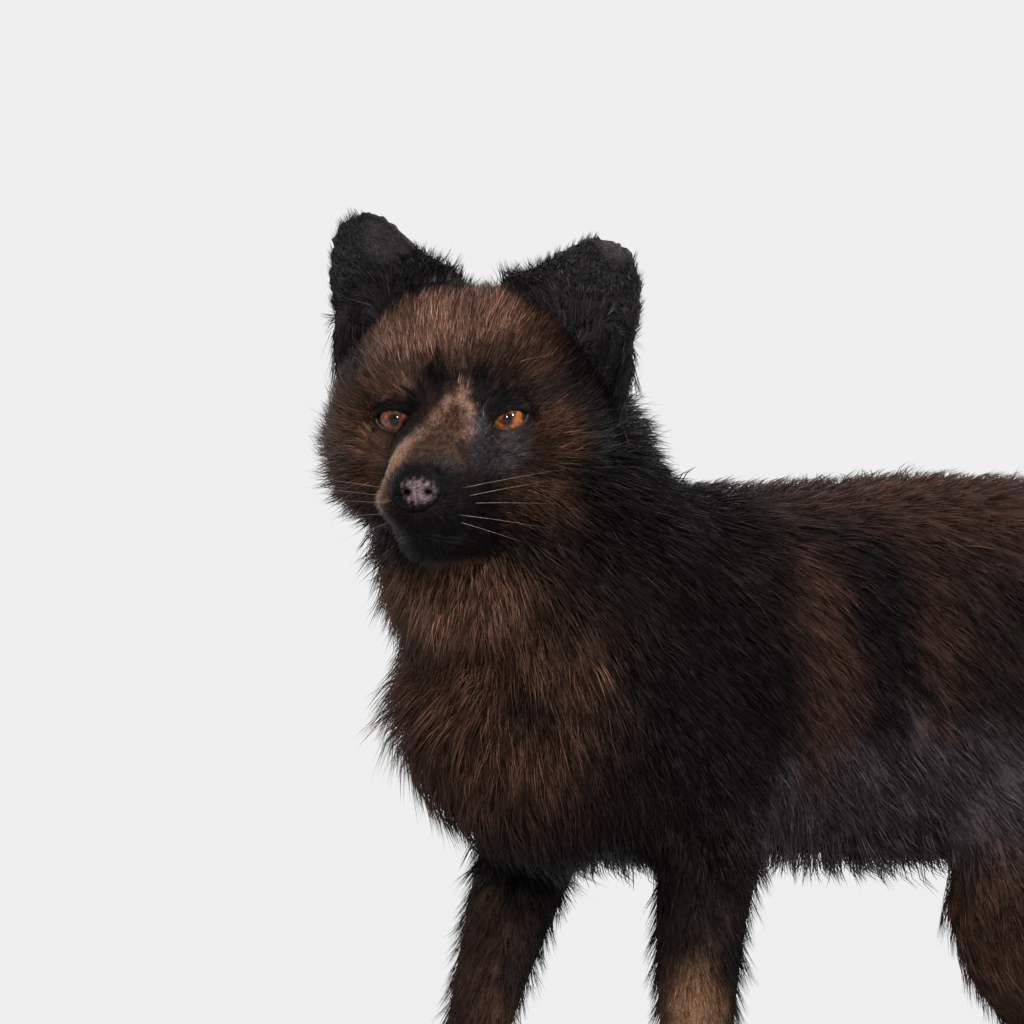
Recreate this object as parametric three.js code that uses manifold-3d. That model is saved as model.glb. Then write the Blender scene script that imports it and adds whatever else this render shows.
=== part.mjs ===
// A life-size fox mount, standing in mid-step with its head turned to its left.
// Millimetres, +Z up, the muzzle towards -Y, the animal's left towards +X, paws on Z = 0.
// Every surface is drawn at the tips of the coat. The animal is lofted whole and then parted
// with thin cuts into the pieces that a person would name.
import * as THREE from "three";
import { mergeVertices } from "three/addons/utils/BufferGeometryUtils.js";
import Module from "manifold-3d";

const wasm = await Module();
wasm.setup();

// ---------------------------------------------------------------- driving dimensions
const CUT = 0.35; // width of the thin cut between two pieces
const SIDES = { trunk: 14, neck: 12, head: 14, muzzle: 12, jaw: 10, leg: 10, tail: 10, claw: 4 };
const ROUND = { trunk: 2.3, neck: 2.1, head: 2.2, leg: 2.1, tail: 2 }; // 2 is an ellipse
const RINGS = 2; // rings from one station of a loft to the next

// The head: where the middle between the eyes stands, and how the head is turned, in degrees.
const HEAD_PLACE = { at: [60, -39, 421], yaw: 45, pitch: 4 };
const HEAD_BACK = 58; // the head ends this far behind the eyes
// Sections of the skull and cheeks: distance behind the eyes, top, widest height, bottom, width.
const SKULL = [
  { y: 84, top: 26, wide: -4, bottom: -30, half: 30 },
  { y: 70, top: 48, wide: -8, bottom: -50, half: 52 },
  { y: 50, top: 57, wide: -11, bottom: -58, half: 63 },
  { y: 32, top: 53, wide: -13, bottom: -60, half: 65 },
  { y: 18, top: 42, wide: -15, bottom: -59, half: 60 },
  { y: 7, top: 29, wide: -18, bottom: -56, half: 49 },
  { y: -1, top: 17, wide: -20, bottom: -51, half: 35 },
  { y: -6, top: 2, wide: -22, bottom: -44, half: 20 },
];
// Sections of the muzzle, from inside the skull to the lips under the nose.
const MUZZLE = [
  { y: 30, top: 32, wide: -12, bottom: -57, half: 42 },
  { y: 12, top: 22, wide: -16, bottom: -57, half: 36 },
  { y: -4, top: 12, wide: -20, bottom: -56, half: 29 },
  { y: -20, top: 4, wide: -25, bottom: -54, half: 24.5 },
  { y: -38, top: -3, wide: -29, bottom: -52, half: 22 },
  { y: -56, top: -9, wide: -32, bottom: -50, half: 19.5 },
  { y: -68, top: -13, wide: -32, bottom: -48, half: 16 },
  { y: -76, top: -19, wide: -32, bottom: -42, half: 9 },
];
const JAW = [
  { y: 36, top: -30, wide: -44, bottom: -58, half: 34 },
  { y: 8, top: -32, wide: -44, bottom: -62, half: 28 },
  { y: -16, top: -34, wide: -44, bottom: -61, half: 21.5 },
  { y: -38, top: -35, wide: -44, bottom: -60, half: 17.5 },
  { y: -56, top: -36, wide: -44, bottom: -58, half: 14.5 },
  { y: -67, top: -38, wide: -44, bottom: -54, half: 9 },
];
const LIPS = { middle: [-64, -45], slope: -8, corner: -12 }; // the line of the closed mouth
const FAR = 100; // more than half of any piece that a block has to cover
const BROW = { at: [21, 2, 14], half: [15, 12, 8] };
const WHISKER_PAD = { at: [10, -55, -33], half: [11.5, 20, 12.5] };
const EYE = { radius: 8.5, at: [23.8, 5, 0], toe: 25 };
const LID_OPENING = { width: 15, height: 10, long: 22, inside: 0.7, outside: 1.8 };
const NOSE = { at: [0, -73, -24], half: [10.5, 8, 9.5], nostril: 2.2, nostrilsApart: 9.4 };

// An ear is a scooped leaf that is flatter and thinner towards its tip, by these shares.
// Widths are given towards the crown and away from it, by height.
const EAR = { sunk: 14, scoop: 13, flatter: 0.75, thick: 4.4, thinner: 0.4, rows: 8, columns: 6 };
const EAR_WIDTHS = [
  { climb: -0.25, inner: 38, outer: 27 },
  { climb: 0, inner: 38, outer: 27 },
  { climb: 0.35, inner: 29, outer: 25 },
  { climb: 0.65, inner: 20, outer: 21 },
  { climb: 0.88, inner: 13, outer: 15 },
  { climb: 1, inner: 6, outer: 8 },
];
const EARS = [
  { name: "ear_left", side: 1, base: [46, 42, 35], height: 43, lean: 24, turn: 16 },
  { name: "ear_right", side: -1, base: [33, 42, 38], height: 52, lean: 19, turn: 12 },
];

// Trunk sections from the breast to the rump: height of the back, of the belly, half width.
const TRUNK = [
  { y: -14, top: 330, bottom: 290, half: 16 },
  { y: -8, top: 350, bottom: 268, half: 36 },
  { y: 14, top: 376, bottom: 240, half: 58 },
  { y: 54, top: 390, bottom: 223, half: 72 },
  { y: 104, top: 396, bottom: 218, half: 77 },
  { y: 160, top: 395, bottom: 222, half: 78 },
  { y: 220, top: 398, bottom: 216, half: 80 },
  { y: 280, top: 400, bottom: 212, half: 78 },
  { y: 340, top: 398, bottom: 222, half: 76 },
  { y: 400, top: 386, bottom: 250, half: 66 },
  { y: 436, top: 370, bottom: 285, half: 44 },
  { y: 450, top: 352, bottom: 315, half: 18 },
];
// Neck stations from inside the chest to inside the head: centre, half width, throat, nape.
const NECK = [
  { at: [0, 108, 296], half: 58, ahead: 55, behind: 50 },
  { at: [0, 82, 326], half: 70, ahead: 82, behind: 62 },
  { at: [4, 58, 358], half: 75, ahead: 90, behind: 63 },
  { at: [11, 38, 390], half: 74, ahead: 89, behind: 60 },
  { at: [24, 18, 420], half: 66, ahead: 74, behind: 54 },
  { at: [28, 4, 444], half: 48, ahead: 40, behind: 34 },
];
const NECK_CUT = { at: [0, 44, 350], slope: 40 };

const SLICE_REACH = 150; // how far a cut across a leg or the tail runs, front to back
const SPLIT_INSIDE = 8; // how far from the middle plane a leg's piece begins
const BELOW_BELLY = 204; // a leg's piece is the whole leg below this height
// Leg stations from inside the trunk to the toes: centre, half width, depth ahead and behind.
// The girdle is the outline in side view along which the leg is parted from the trunk, and the
// block holds the whole leg below the belly, from front to back.
const LEGS = [
  {
    fore: true,
    which: "left",
    paw: [48, 88],
    girdle: [[58, 190], [50, 262], [66, 322], [96, 330], [124, 296], [136, 250], [140, 190]],
    block: [0, 180],
    cuts: [{ at: [100, 226], slope: 0 }, { at: [92, 42], slope: 0 }],
    stations: [
      { at: [36, 76, 322], half: 26, ahead: 30, behind: 30 },
      { at: [50, 88, 282], half: 31, ahead: 36, behind: 36 },
      { at: [53, 102, 240], half: 29, ahead: 33, behind: 26 },
      { at: [51, 99, 206], half: 25, ahead: 28, behind: 23 },
      { at: [50, 100, 160], half: 21, ahead: 21, behind: 24 },
      { at: [49, 99, 104], half: 16.5, ahead: 16, behind: 18 },
      { at: [48, 96, 62], half: 16, ahead: 15, behind: 16 },
      { at: [48, 92, 28], half: 18, ahead: 16, behind: 17 },
      { at: [48, 91, 12], half: 15, ahead: 14, behind: 14 },
    ],
  },
  {
    fore: true,
    which: "right",
    paw: [-47, 2],
    girdle: [[28, 190], [34, 262], [52, 322], [84, 330], [112, 296], [124, 250], [126, 190]],
    block: [-80, 160],
    cuts: [{ at: [78, 226], slope: -14 }, { at: [14, 46], slope: -10 }],
    stations: [
      { at: [-36, 72, 322], half: 26, ahead: 30, behind: 30 },
      { at: [-50, 78, 282], half: 31, ahead: 36, behind: 36 },
      { at: [-53, 82, 240], half: 29, ahead: 32, behind: 28 },
      { at: [-51, 69, 206], half: 24.5, ahead: 27, behind: 25 },
      { at: [-50, 53, 160], half: 21, ahead: 20, behind: 20 },
      { at: [-48, 34, 104], half: 16.5, ahead: 16, behind: 17 },
      { at: [-47, 18, 62], half: 16, ahead: 15, behind: 16 },
      { at: [-47, 7, 28], half: 18, ahead: 16, behind: 17 },
      { at: [-47, 5, 12], half: 15, ahead: 14, behind: 14 },
    ],
  },
  {
    fore: false,
    which: "left",
    paw: [50, 292],
    girdle: [[222, 190], [246, 262], [288, 322], [344, 354], [392, 330], [390, 262], [340, 190]],
    block: [190, 400],
    cuts: [{ at: [280, 178], slope: 20 }, { at: [320, 100], slope: 8 }],
    stations: [
      { at: [38, 350, 335], half: 30, ahead: 44, behind: 44 },
      { at: [50, 326, 288], half: 34, ahead: 58, behind: 58 },
      { at: [57, 292, 236], half: 30, ahead: 48, behind: 52 },
      { at: [56, 270, 192], half: 25, ahead: 30, behind: 36 },
      { at: [53, 290, 154], half: 20, ahead: 22, behind: 24 },
      { at: [50, 316, 118], half: 15.5, ahead: 17, behind: 19 },
      { at: [50, 318, 84], half: 14.5, ahead: 14, behind: 17 },
      { at: [50, 304, 34], half: 17, ahead: 15, behind: 16 },
      { at: [50, 298, 12], half: 15, ahead: 14, behind: 14 },
    ],
  },
  {
    fore: false,
    which: "right",
    paw: [-46, 404],
    girdle: [[326, 190], [318, 262], [328, 322], [364, 354], [404, 330], [418, 262], [424, 190]],
    block: [270, 480],
    cuts: [{ at: [378, 180], slope: 20 }, { at: [434, 104], slope: 12 }],
    stations: [
      { at: [-38, 364, 335], half: 30, ahead: 42, behind: 42 },
      { at: [-50, 366, 288], half: 34, ahead: 50, behind: 52 },
      { at: [-55, 372, 240], half: 30, ahead: 40, behind: 46 },
      { at: [-54, 368, 196], half: 25, ahead: 30, behind: 36 },
      { at: [-50, 396, 156], half: 20, ahead: 22, behind: 24 },
      { at: [-47, 428, 120], half: 15.5, ahead: 17, behind: 19 },
      { at: [-46, 430, 86], half: 14.5, ahead: 14, behind: 17 },
      { at: [-46, 416, 36], half: 17, ahead: 15, behind: 16 },
      { at: [-46, 410, 12], half: 15, ahead: 14, behind: 14 },
    ],
  },
];
const PAW = { half: [17.5, 22, 14], behind: 3, height: 12 };
const TOE = { long: 1.5, high: 0.95, sunk: 0.6 }; // long and high against its width
const TOES = [
  { x: -14, y: -8, r: 8.2 },
  { x: -5.6, y: -18, r: 8.8 },
  { x: 5.6, y: -18, r: 8.8 },
  { x: 14, y: -8, r: 8.2 },
];
const CLAW = { length: 11, radius: 2.4, flat: 0.7, tip: 0.5, rings: 2, droop: 55, sunk: 3, up: 1 };

const TAIL = [
  { at: [0, 424, 350], half: 16 },
  { at: [0, 458, 336], half: 25 },
  { at: [0, 490, 294], half: 38 },
  { at: [1, 508, 240], half: 47 },
  { at: [2, 520, 184], half: 49 },
  { at: [4, 536, 134], half: 43 },
  { at: [6, 560, 98], half: 31 },
  { at: [9, 590, 76], half: 15 },
  { at: [11, 606, 70], half: 4 },
];
const TAIL_CUT = { at: [532, 146], slope: 20 }; // where the pale tip begins

// ---------------------------------------------------------------- materials
const furOf = (color) => new THREE.MeshStandardMaterial({ color, roughness: 0.85 });
const DARK = furOf(0x1f1815);
const BROWN = furOf(0x3a2a20);
const BLACK = furOf(0x131112);
const PALE = furOf(0xb9ab97);
const EYE_GLASS = new THREE.MeshStandardMaterial({ color: 0x9a4a18, roughness: 0.06 });
const NOSE_LEATHER = new THREE.MeshStandardMaterial({ color: 0x2a2022, roughness: 0.45 });
const HORN = new THREE.MeshStandardMaterial({ color: 0x1a1613, roughness: 0.4 });

// ---------------------------------------------------------------- solids and meshes
function solidOf(geometry) {
  const bare = geometry.clone();
  for (const name of Object.keys(bare.attributes)) {
    if (name !== "position") bare.deleteAttribute(name);
  }
  const merged = mergeVertices(bare, 1e-4);
  return new wasm.Manifold(
    new wasm.Mesh({
      numProp: 3,
      vertProperties: new Float32Array(merged.attributes.position.array),
      triVerts: new Uint32Array(merged.index.array),
    }),
  );
}

function meshOf(solid, name, material) {
  const data = solid.getMesh();
  const positions = new Float32Array(data.numVert * 3);
  for (let i = 0; i < data.numVert; i++) {
    const start = i * data.numProp;
    positions.set(data.vertProperties.subarray(start, start + 3), i * 3);
  }
  const geometry = new THREE.BufferGeometry();
  geometry.setAttribute("position", new THREE.BufferAttribute(positions, 3));
  geometry.setIndex(new THREE.BufferAttribute(new Uint32Array(data.triVerts), 1));
  geometry.computeVertexNormals();
  const mesh = new THREE.Mesh(geometry, material);
  mesh.name = name;
  return mesh;
}

// A closed skin over rings of equal length, each a list of points; both ends are fanned shut.
function skinOf(rings) {
  const sides = rings[0].length;
  const middleOf = (ring) =>
    ring.reduce((sum, p) => sum.add(p), new THREE.Vector3()).divideScalar(ring.length);
  const points = rings.flat();
  const last = points.length - sides;
  const start = points.push(middleOf(rings[0])) - 1;
  const end = points.push(middleOf(rings[rings.length - 1])) - 1;
  const faces = [];
  for (let j = 0; j < sides; j++) {
    const next = (j + 1) % sides;
    for (let row = 0; row < last; row += sides) {
      faces.push(row + j, row + next, row + sides + j);
      faces.push(row + next, row + sides + next, row + sides + j);
    }
    faces.push(start, next, j, end, last + j, last + next);
  }
  const geometry = new THREE.BufferGeometry().setFromPoints(points);
  geometry.setIndex(faces);
  const solid = solidOf(geometry);
  if (solid.volume() > 0) return solid;
  geometry.setIndex(faces.reverse());
  return solidOf(geometry);
}

// Smooth closed loft through stations. Each section stands square to the line of centres with
// its width sideways, and is a superellipse with its own depth ahead and behind.
const SIDEWAYS = new THREE.Vector3(1, 0, 0);
function loft(stations, sides, power, grow = 0) {
  const centres = stations.map((s) => new THREE.Vector3(...s.at));
  const line = new THREE.CatmullRomCurve3(centres, false, "catmullrom");
  const halves = stations.map(
    (s) => new THREE.Vector3(s.half, s.ahead ?? s.half, s.behind ?? s.half),
  );
  const sizes = new THREE.CatmullRomCurve3(halves, false, "catmullrom");
  const count = (stations.length - 1) * RINGS;
  const bend = (v) => Math.sign(v) * Math.abs(v) ** (2 / power);
  const rings = [];
  for (let i = 0; i <= count; i++) {
    const centre = line.getPoint(i / count);
    const size = sizes.getPoint(i / count).addScalar(grow);
    const along = line.getTangent(i / count);
    const across = SIDEWAYS.clone().addScaledVector(along, -SIDEWAYS.dot(along)).normalize();
    const ahead = across.clone().cross(along).normalize();
    const ring = [];
    for (let j = 0; j < sides; j++) {
      const angle = (j / sides) * 2 * Math.PI;
      const point = centre.clone().addScaledVector(across, bend(Math.cos(angle)) * size.x);
      const depth = bend(Math.sin(angle)) * (Math.sin(angle) > 0 ? size.y : size.z);
      ring.push(point.addScaledVector(ahead, depth));
    }
    rings.push(ring);
  }
  return skinOf(rings);
}

// A section given by heights, as on the trunk and the head, made into a station of a loft.
function upright({ y, top, bottom, wide = (top + bottom) / 2, half }) {
  return { at: [0, y, wide], half, ahead: wide - bottom, behind: top - wide };
}

function ball(at, half, columns = 12, rows = 8) {
  const geometry = new THREE.SphereGeometry(1, columns, rows);
  geometry.scale(...half).translate(...at);
  return solidOf(geometry);
}

function box(size, at, slope = 0) {
  const geometry = new THREE.BoxGeometry(...size);
  geometry.rotateX(radians(slope)).translate(...at);
  return solidOf(geometry);
}

// A slab that stands on a smooth outline in the YZ plane and runs along X from low to high.
function sideSlab(outline, low, high, grow) {
  const points = outline.map((p) => new THREE.Vector2(...p));
  const smooth = new THREE.SplineCurve([...points, points[0]]).getPoints(outline.length * 2);
  smooth.pop();
  const middle = new THREE.Vector2();
  for (const p of smooth) middle.addScaledVector(p, 1 / smooth.length);
  for (const p of smooth) p.add(p.clone().sub(middle).setLength(grow));
  const depth = high - low + 2 * grow;
  const geometry = new THREE.ExtrudeGeometry(new THREE.Shape(smooth), {
    depth,
    bevelEnabled: false,
  });
  // The outline's X and Y become Y and Z, and the extrusion runs along X.
  const turn = new THREE.Matrix4().set(0, 0, 1, low - grow, 1, 0, 0, 0, 0, 1, 0, 0, 0, 0, 0, 1);
  return solidOf(geometry.applyMatrix4(turn));
}

function radians(degrees) {
  return THREE.MathUtils.degToRad(degrees);
}

const largest = (solid) => solid.decompose().sort((a, b) => b.volume() - a.volume())[0];
const mirrored = ([x, y, z], side) => [x * side, y, z];
const BOTH_SIDES = { left: 1, right: -1 };

const group = new THREE.Group();
const add = (solid, name, material) => group.add(meshOf(solid, name, material));

// ---------------------------------------------------------------- head
const headMatrix = new THREE.Matrix4()
  .makeRotationFromEuler(
    new THREE.Euler(radians(HEAD_PLACE.pitch), 0, radians(HEAD_PLACE.yaw), "ZYX"),
  )
  .setPosition(...HEAD_PLACE.at);
const inPlace = (solid) => solid.transform(headMatrix.elements);

function headShape(grow = 0) {
  let shape = loft(SKULL.map(upright), SIDES.head, ROUND.head, grow)
    .add(loft(MUZZLE.map(upright), SIDES.muzzle, ROUND.head, grow))
    .add(loft(JAW.map(upright), SIDES.jaw, ROUND.head, grow));
  for (const side of Object.values(BOTH_SIDES)) {
    for (const { at, half } of [BROW, WHISKER_PAD]) {
      shape = shape.add(ball(mirrored(at, side), half.map((v) => v + grow), 8, 6));
    }
  }
  return shape;
}

function noseShape() {
  let nose = ball(NOSE.at, NOSE.half);
  const [x, y, z] = NOSE.at;
  for (const side of Object.values(BOTH_SIDES)) {
    const at = [x + (side * NOSE.nostrilsApart) / 2, y - NOSE.half[1] + 1, z - 1];
    nose = nose.subtract(ball(at, [NOSE.nostril, 4, NOSE.nostril], 6, 4));
  }
  return nose;
}

// The opening between the lids, widening outwards from the front of the eye.
function lidOpening(side) {
  const { width, height, long, inside, outside } = LID_OPENING;
  const opening = new THREE.CylinderGeometry(inside, outside, 1, 8);
  opening.scale(width / 2, long, height / 2).translate(0, -long / 2, 0);
  opening.rotateZ(radians(side * EYE.toe)).translate(...mirrored(EYE.at, side));
  return solidOf(opening);
}

let headWhole = headShape().subtract(ball(NOSE.at, NOSE.half.map((v) => v + CUT)));
for (const [which, side] of Object.entries(BOTH_SIDES)) {
  const at = mirrored(EYE.at, side);
  const sphere = (radius) => ball(at, [radius, radius, radius], 8, 6);
  headWhole = headWhole.subtract(sphere(EYE.radius + CUT)).subtract(lidOpening(side));
  add(inPlace(sphere(EYE.radius)), `eye_${which}`, EYE_GLASS);
}
// The lower jaw is all that lies below the lips, as far back as the corner of the mouth.
function jawBlock(gap) {
  const [y, z] = LIPS.middle;
  const half = LIPS.corner - y;
  return box([2 * FAR, 2 * (half + gap), FAR], [0, y, z - FAR / 2 + gap], LIPS.slope);
}
const behindHead = (gap) => box([4 * FAR, 2 * FAR, 4 * FAR], [0, HEAD_BACK + FAR + gap, 0]);
add(inPlace(largest(headWhole.intersect(jawBlock(0)))), "lower_jaw", BLACK);
add(
  inPlace(largest(headWhole.subtract(jawBlock(CUT)).subtract(behindHead(0)))),
  "head",
  BROWN,
);
add(inPlace(noseShape()), "nose", NOSE_LEATHER);
const headMask = inPlace(headShape(CUT).subtract(behindHead(CUT)));

// ---------------------------------------------------------------- trunk, neck, legs, tail
function pawShape([x, y], grow = 0) {
  const grown = (half) => half.map((v) => v + grow);
  let paw = ball([x, y + PAW.behind, PAW.height], grown(PAW.half), 8, 6);
  for (const toe of TOES) {
    const at = [x + toe.x, y + toe.y, toe.r * TOE.high - TOE.sunk];
    paw = paw.add(ball(at, grown([toe.r, toe.r * TOE.long, toe.r * TOE.high]), 6, 4));
  }
  return paw;
}

// A cone that curves down and forwards out of the front of its toe.
function clawShape(paw, toe) {
  const rings = [];
  for (let i = 0; i <= CLAW.rings; i++) {
    const t = i / CLAW.rings;
    const bow = radians(CLAW.droop) * t;
    const radius = CLAW.radius * (1 - t) + CLAW.tip * t;
    const reach = (CLAW.length * Math.sin(bow)) / radians(CLAW.droop);
    const drop = (CLAW.length * (1 - Math.cos(bow))) / radians(CLAW.droop);
    const ring = [];
    for (let j = 0; j < SIDES.claw; j++) {
      const angle = (j / SIDES.claw) * 2 * Math.PI;
      const x = Math.cos(angle) * radius * CLAW.flat;
      ring.push(new THREE.Vector3(x, -reach, Math.sin(angle) * radius - drop));
    }
    rings.push(ring);
  }
  const front = paw[1] + toe.y - toe.r * TOE.long;
  const place = new THREE.Matrix4()
    .makeRotationZ(radians(toe.x))
    .setPosition(paw[0] + toe.x, front + CLAW.sunk, toe.r * TOE.high + CLAW.up);
  return skinOf(rings).transform(place.elements);
}

const trunkShape = (grow) => loft(TRUNK.map(upright), SIDES.trunk, ROUND.trunk, grow);
const neckShape = (grow) => loft(NECK, SIDES.neck, ROUND.neck, grow);
let body = trunkShape(0).add(neckShape(0));
for (const leg of LEGS) {
  body = body.add(loft(leg.stations, SIDES.leg, ROUND.leg)).add(pawShape(leg.paw));
}
const belowFloor = box([4 * FAR, 12 * FAR, FAR], [0, 2 * FAR, -FAR / 2]);
body = body.subtract(belowFloor).subtract(headMask);

// ---------------------------------------------------------------- ears
function earShape({ side, base, height: whole, lean, turn }) {
  const knots = EAR_WIDTHS.map((w) => new THREE.Vector3(w.climb, w.inner, w.outer));
  const widths = new THREE.CatmullRomCurve3(knots, false, "catmullrom");
  const rings = [];
  for (let i = 0; i < EAR.rows; i++) {
    const { x: climb, y: inner, z: outer } = widths.getPoint(i / (EAR.rows - 1));
    const height = climb > 0 ? climb * whole : (-climb / EAR_WIDTHS[0].climb) * EAR.sunk;
    const scoop = EAR.scoop * (1 - EAR.flatter * Math.max(0, climb));
    const half = (EAR.thick / 2) * (1 - EAR.thinner * Math.max(0, climb));
    const row = (face) => {
      const points = [];
      for (let j = 0; j <= EAR.columns; j++) {
        const u = (j / EAR.columns) * 2 - 1;
        const x = u * (u * side > 0 ? outer : inner);
        points.push(new THREE.Vector3(x, scoop * (1 - u * u) + face * half, height));
      }
      return points;
    };
    rings.push([...row(1), ...row(-1).reverse()]);
  }
  const turned = new THREE.Euler(0, radians(side * lean), radians(side * turn), "ZYX");
  const place = new THREE.Matrix4()
    .makeRotationFromEuler(turned)
    .setPosition(...mirrored(base, side));
  return skinOf(rings).transform(place.elements);
}
for (const ear of EARS) {
  const shape = inPlace(earShape(ear)).subtract(headMask).subtract(neckShape(CUT));
  add(largest(shape), ear.name, BLACK);
}

// ---------------------------------------------------------------- parting the body
// The tail begins where it leaves the rump, and its pale end is a piece of its own.
const tail = largest(loft(TAIL, SIDES.tail, ROUND.tail).subtract(trunkShape(CUT)));
const slice = ({ at: [y, z], slope }) => box([2 * FAR, SLICE_REACH, CUT], [0, y, z], slope);
for (const piece of tail.subtract(slice(TAIL_CUT)).decompose()) {
  const isTip = piece.boundingBox().max[2] < TAIL_CUT.at[1] + SLICE_REACH / 4;
  add(piece, isTip ? "tail_tip" : "tail", isTip ? PALE : DARK);
}

function legRegion(leg, grow) {
  const [low, high] = leg.which === "left" ? [SPLIT_INSIDE, FAR] : [-FAR, -SPLIT_INSIDE];
  const [front, back] = leg.block;
  const block = box(
    [high - low + 2 * grow, back - front + 2 * grow, BELOW_BELLY + FAR + grow],
    [(low + high) / 2, (front + back) / 2, (BELOW_BELLY - FAR + grow) / 2],
  );
  return sideSlab(leg.girdle, low, high, grow).add(block);
}

for (const leg of LEGS) {
  let parted = body.intersect(legRegion(leg, 0));
  body = body.subtract(legRegion(leg, CUT));
  for (const cut of leg.cuts) parted = parted.subtract(slice(cut));
  const names = leg.fore ? ["shoulder", "forearm", "forepaw"] : ["thigh", "shank", "hindfoot"];
  const pieces = parted.decompose().sort((a, b) => b.volume() - a.volume()).slice(0, 3);
  pieces.sort((a, b) => b.boundingBox().max[2] - a.boundingBox().max[2]);
  pieces.forEach((piece, i) => add(piece, `${names[i]}_${leg.which}`, i ? BROWN : DARK));
  const foot = leg.fore ? "fore" : "hind";
  TOES.forEach((toe, i) => {
    const claw = clawShape(leg.paw, toe).subtract(pawShape(leg.paw, CUT));
    add(largest(claw), `claw_${foot}_${leg.which}_${i + 1}`, HORN);
  });
}

const neckCut = box([5 * FAR, 5 * FAR, CUT], NECK_CUT.at, NECK_CUT.slope);
const [trunk, neck] = body
  .subtract(neckCut)
  .decompose()
  .sort((a, b) => b.volume() - a.volume());
add(trunk, "trunk", DARK);
add(neck, "neck", DARK);

// The origin is under the middle of the box round the whole animal, on the floor.
const middle = new THREE.Box3().setFromObject(group).getCenter(new THREE.Vector3());
group.position.set(-middle.x, -middle.y, 0);

export default group;
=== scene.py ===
"""A taxidermy fox: one skin with its coat of solid tufts, glass eyes, nose, claws and whiskers."""
import heapq
import math

import bpy
import numpy as np
from mathutils import Matrix, Vector
from mathutils.bvhtree import BVHTree
from mathutils.kdtree import KDTree


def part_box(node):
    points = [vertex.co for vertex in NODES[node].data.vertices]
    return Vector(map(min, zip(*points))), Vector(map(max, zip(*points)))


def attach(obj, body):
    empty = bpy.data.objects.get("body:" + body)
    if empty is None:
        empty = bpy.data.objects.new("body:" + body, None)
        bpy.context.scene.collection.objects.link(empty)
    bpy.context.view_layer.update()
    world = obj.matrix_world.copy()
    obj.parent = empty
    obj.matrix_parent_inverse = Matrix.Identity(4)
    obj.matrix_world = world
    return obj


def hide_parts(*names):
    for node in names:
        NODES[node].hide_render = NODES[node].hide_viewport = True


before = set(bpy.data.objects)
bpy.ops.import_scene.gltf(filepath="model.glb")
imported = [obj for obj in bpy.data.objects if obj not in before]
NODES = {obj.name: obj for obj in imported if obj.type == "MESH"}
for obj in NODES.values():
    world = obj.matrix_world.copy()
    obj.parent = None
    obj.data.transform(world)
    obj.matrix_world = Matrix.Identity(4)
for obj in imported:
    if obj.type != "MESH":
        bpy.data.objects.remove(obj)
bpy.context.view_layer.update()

MM = 0.001
SPECK = 200  # triangles
scene = bpy.context.scene


# ---- places
def middle(node):
    lo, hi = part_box(node)
    return np.array((lo + hi) / 2)


def turn_of(left, down):
    """A turn to the left after one down, both in degrees."""
    about_z, about_x = (math.radians(angle) for angle in (left, down))
    return np.array(Matrix.Rotation(about_z, 3, "Z") @ Matrix.Rotation(about_x, 3, "X"))


# The head's own axes: +X its left, -Y towards the nose, origin between the eyes, in millimetres.
HEAD_TURN = turn_of(45, 4)
EYE_ASIDE, EYE_BEHIND = 23.8, 5.0
EYE_RADIUS = 8.5
FAR_OUT = 60  # millimetres; rays to the skin start this far out
HEAD_AT = (middle("eye_left") + middle("eye_right")) / 2 - HEAD_TURN @ [0, EYE_BEHIND * MM, 0]
# The body's axes: the origin lies in the middle plane, under the breast, in millimetres.
BODY_AT = HEAD_AT - np.array([60, -39, 421]) * MM


def from_head(points):
    return np.asarray(points, float) @ HEAD_TURN.T * MM + HEAD_AT


def to_head(points):
    return (points - HEAD_AT) @ HEAD_TURN / MM


def to_body(points):
    return (points - BODY_AT) / MM


# ---- small helpers
def unit(v):
    return v / np.maximum(np.linalg.norm(v, axis=-1, keepdims=True), 1e-12)


def ramp(x, low, high):
    """0 below low, 1 above high, smooth between; low may be the larger."""
    t = np.clip((np.asarray(x, float) - low) / (high - low), 0, 1)
    return t * t * (3 - 2 * t)


def towards(value, target, share):
    return value + share * (target - value)


def bell(x, middle, reach):
    return np.exp(-(((x - middle) / reach) ** 2))


def arrays_of(mesh):
    """Vertices and triangles of a mesh."""
    mesh.calc_loop_triangles()
    verts = np.zeros(len(mesh.vertices) * 3)
    mesh.vertices.foreach_get("co", verts)
    tris = np.zeros(len(mesh.loop_triangles) * 3, np.int32)
    mesh.loop_triangles.foreach_get("vertices", tris)
    return verts.reshape(-1, 3), tris.reshape(-1, 3)


def welded(verts, tris):
    """The same surface with one vertex at each place."""
    key = np.round(verts / 2e-6).astype(np.int64)
    _, first, where = np.unique(key, axis=0, return_index=True, return_inverse=True)
    tris = where.reshape(-1)[tris]
    whole = (tris[:, 0] != tris[:, 1]) & (tris[:, 1] != tris[:, 2]) & (tris[:, 0] != tris[:, 2])
    return verts[first], tris[whole]


def gathered(values, tris, count):
    """At each vertex, the sum of a vector over the triangles round it."""
    spread = [np.bincount(tris.ravel(), np.repeat(values[:, k], 3), count) for k in range(3)]
    return np.stack(spread, 1)


def normals_of(verts, tris):
    face = np.cross(verts[tris[:, 1]] - verts[tris[:, 0]], verts[tris[:, 2]] - verts[tris[:, 0]])
    return unit(gathered(face, tris, len(verts)))


def edges_of(tris):
    pairs = np.sort(np.concatenate([tris[:, [0, 1]], tris[:, [1, 2]], tris[:, [2, 0]]]), axis=1)
    return np.unique(pairs, axis=0)


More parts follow.
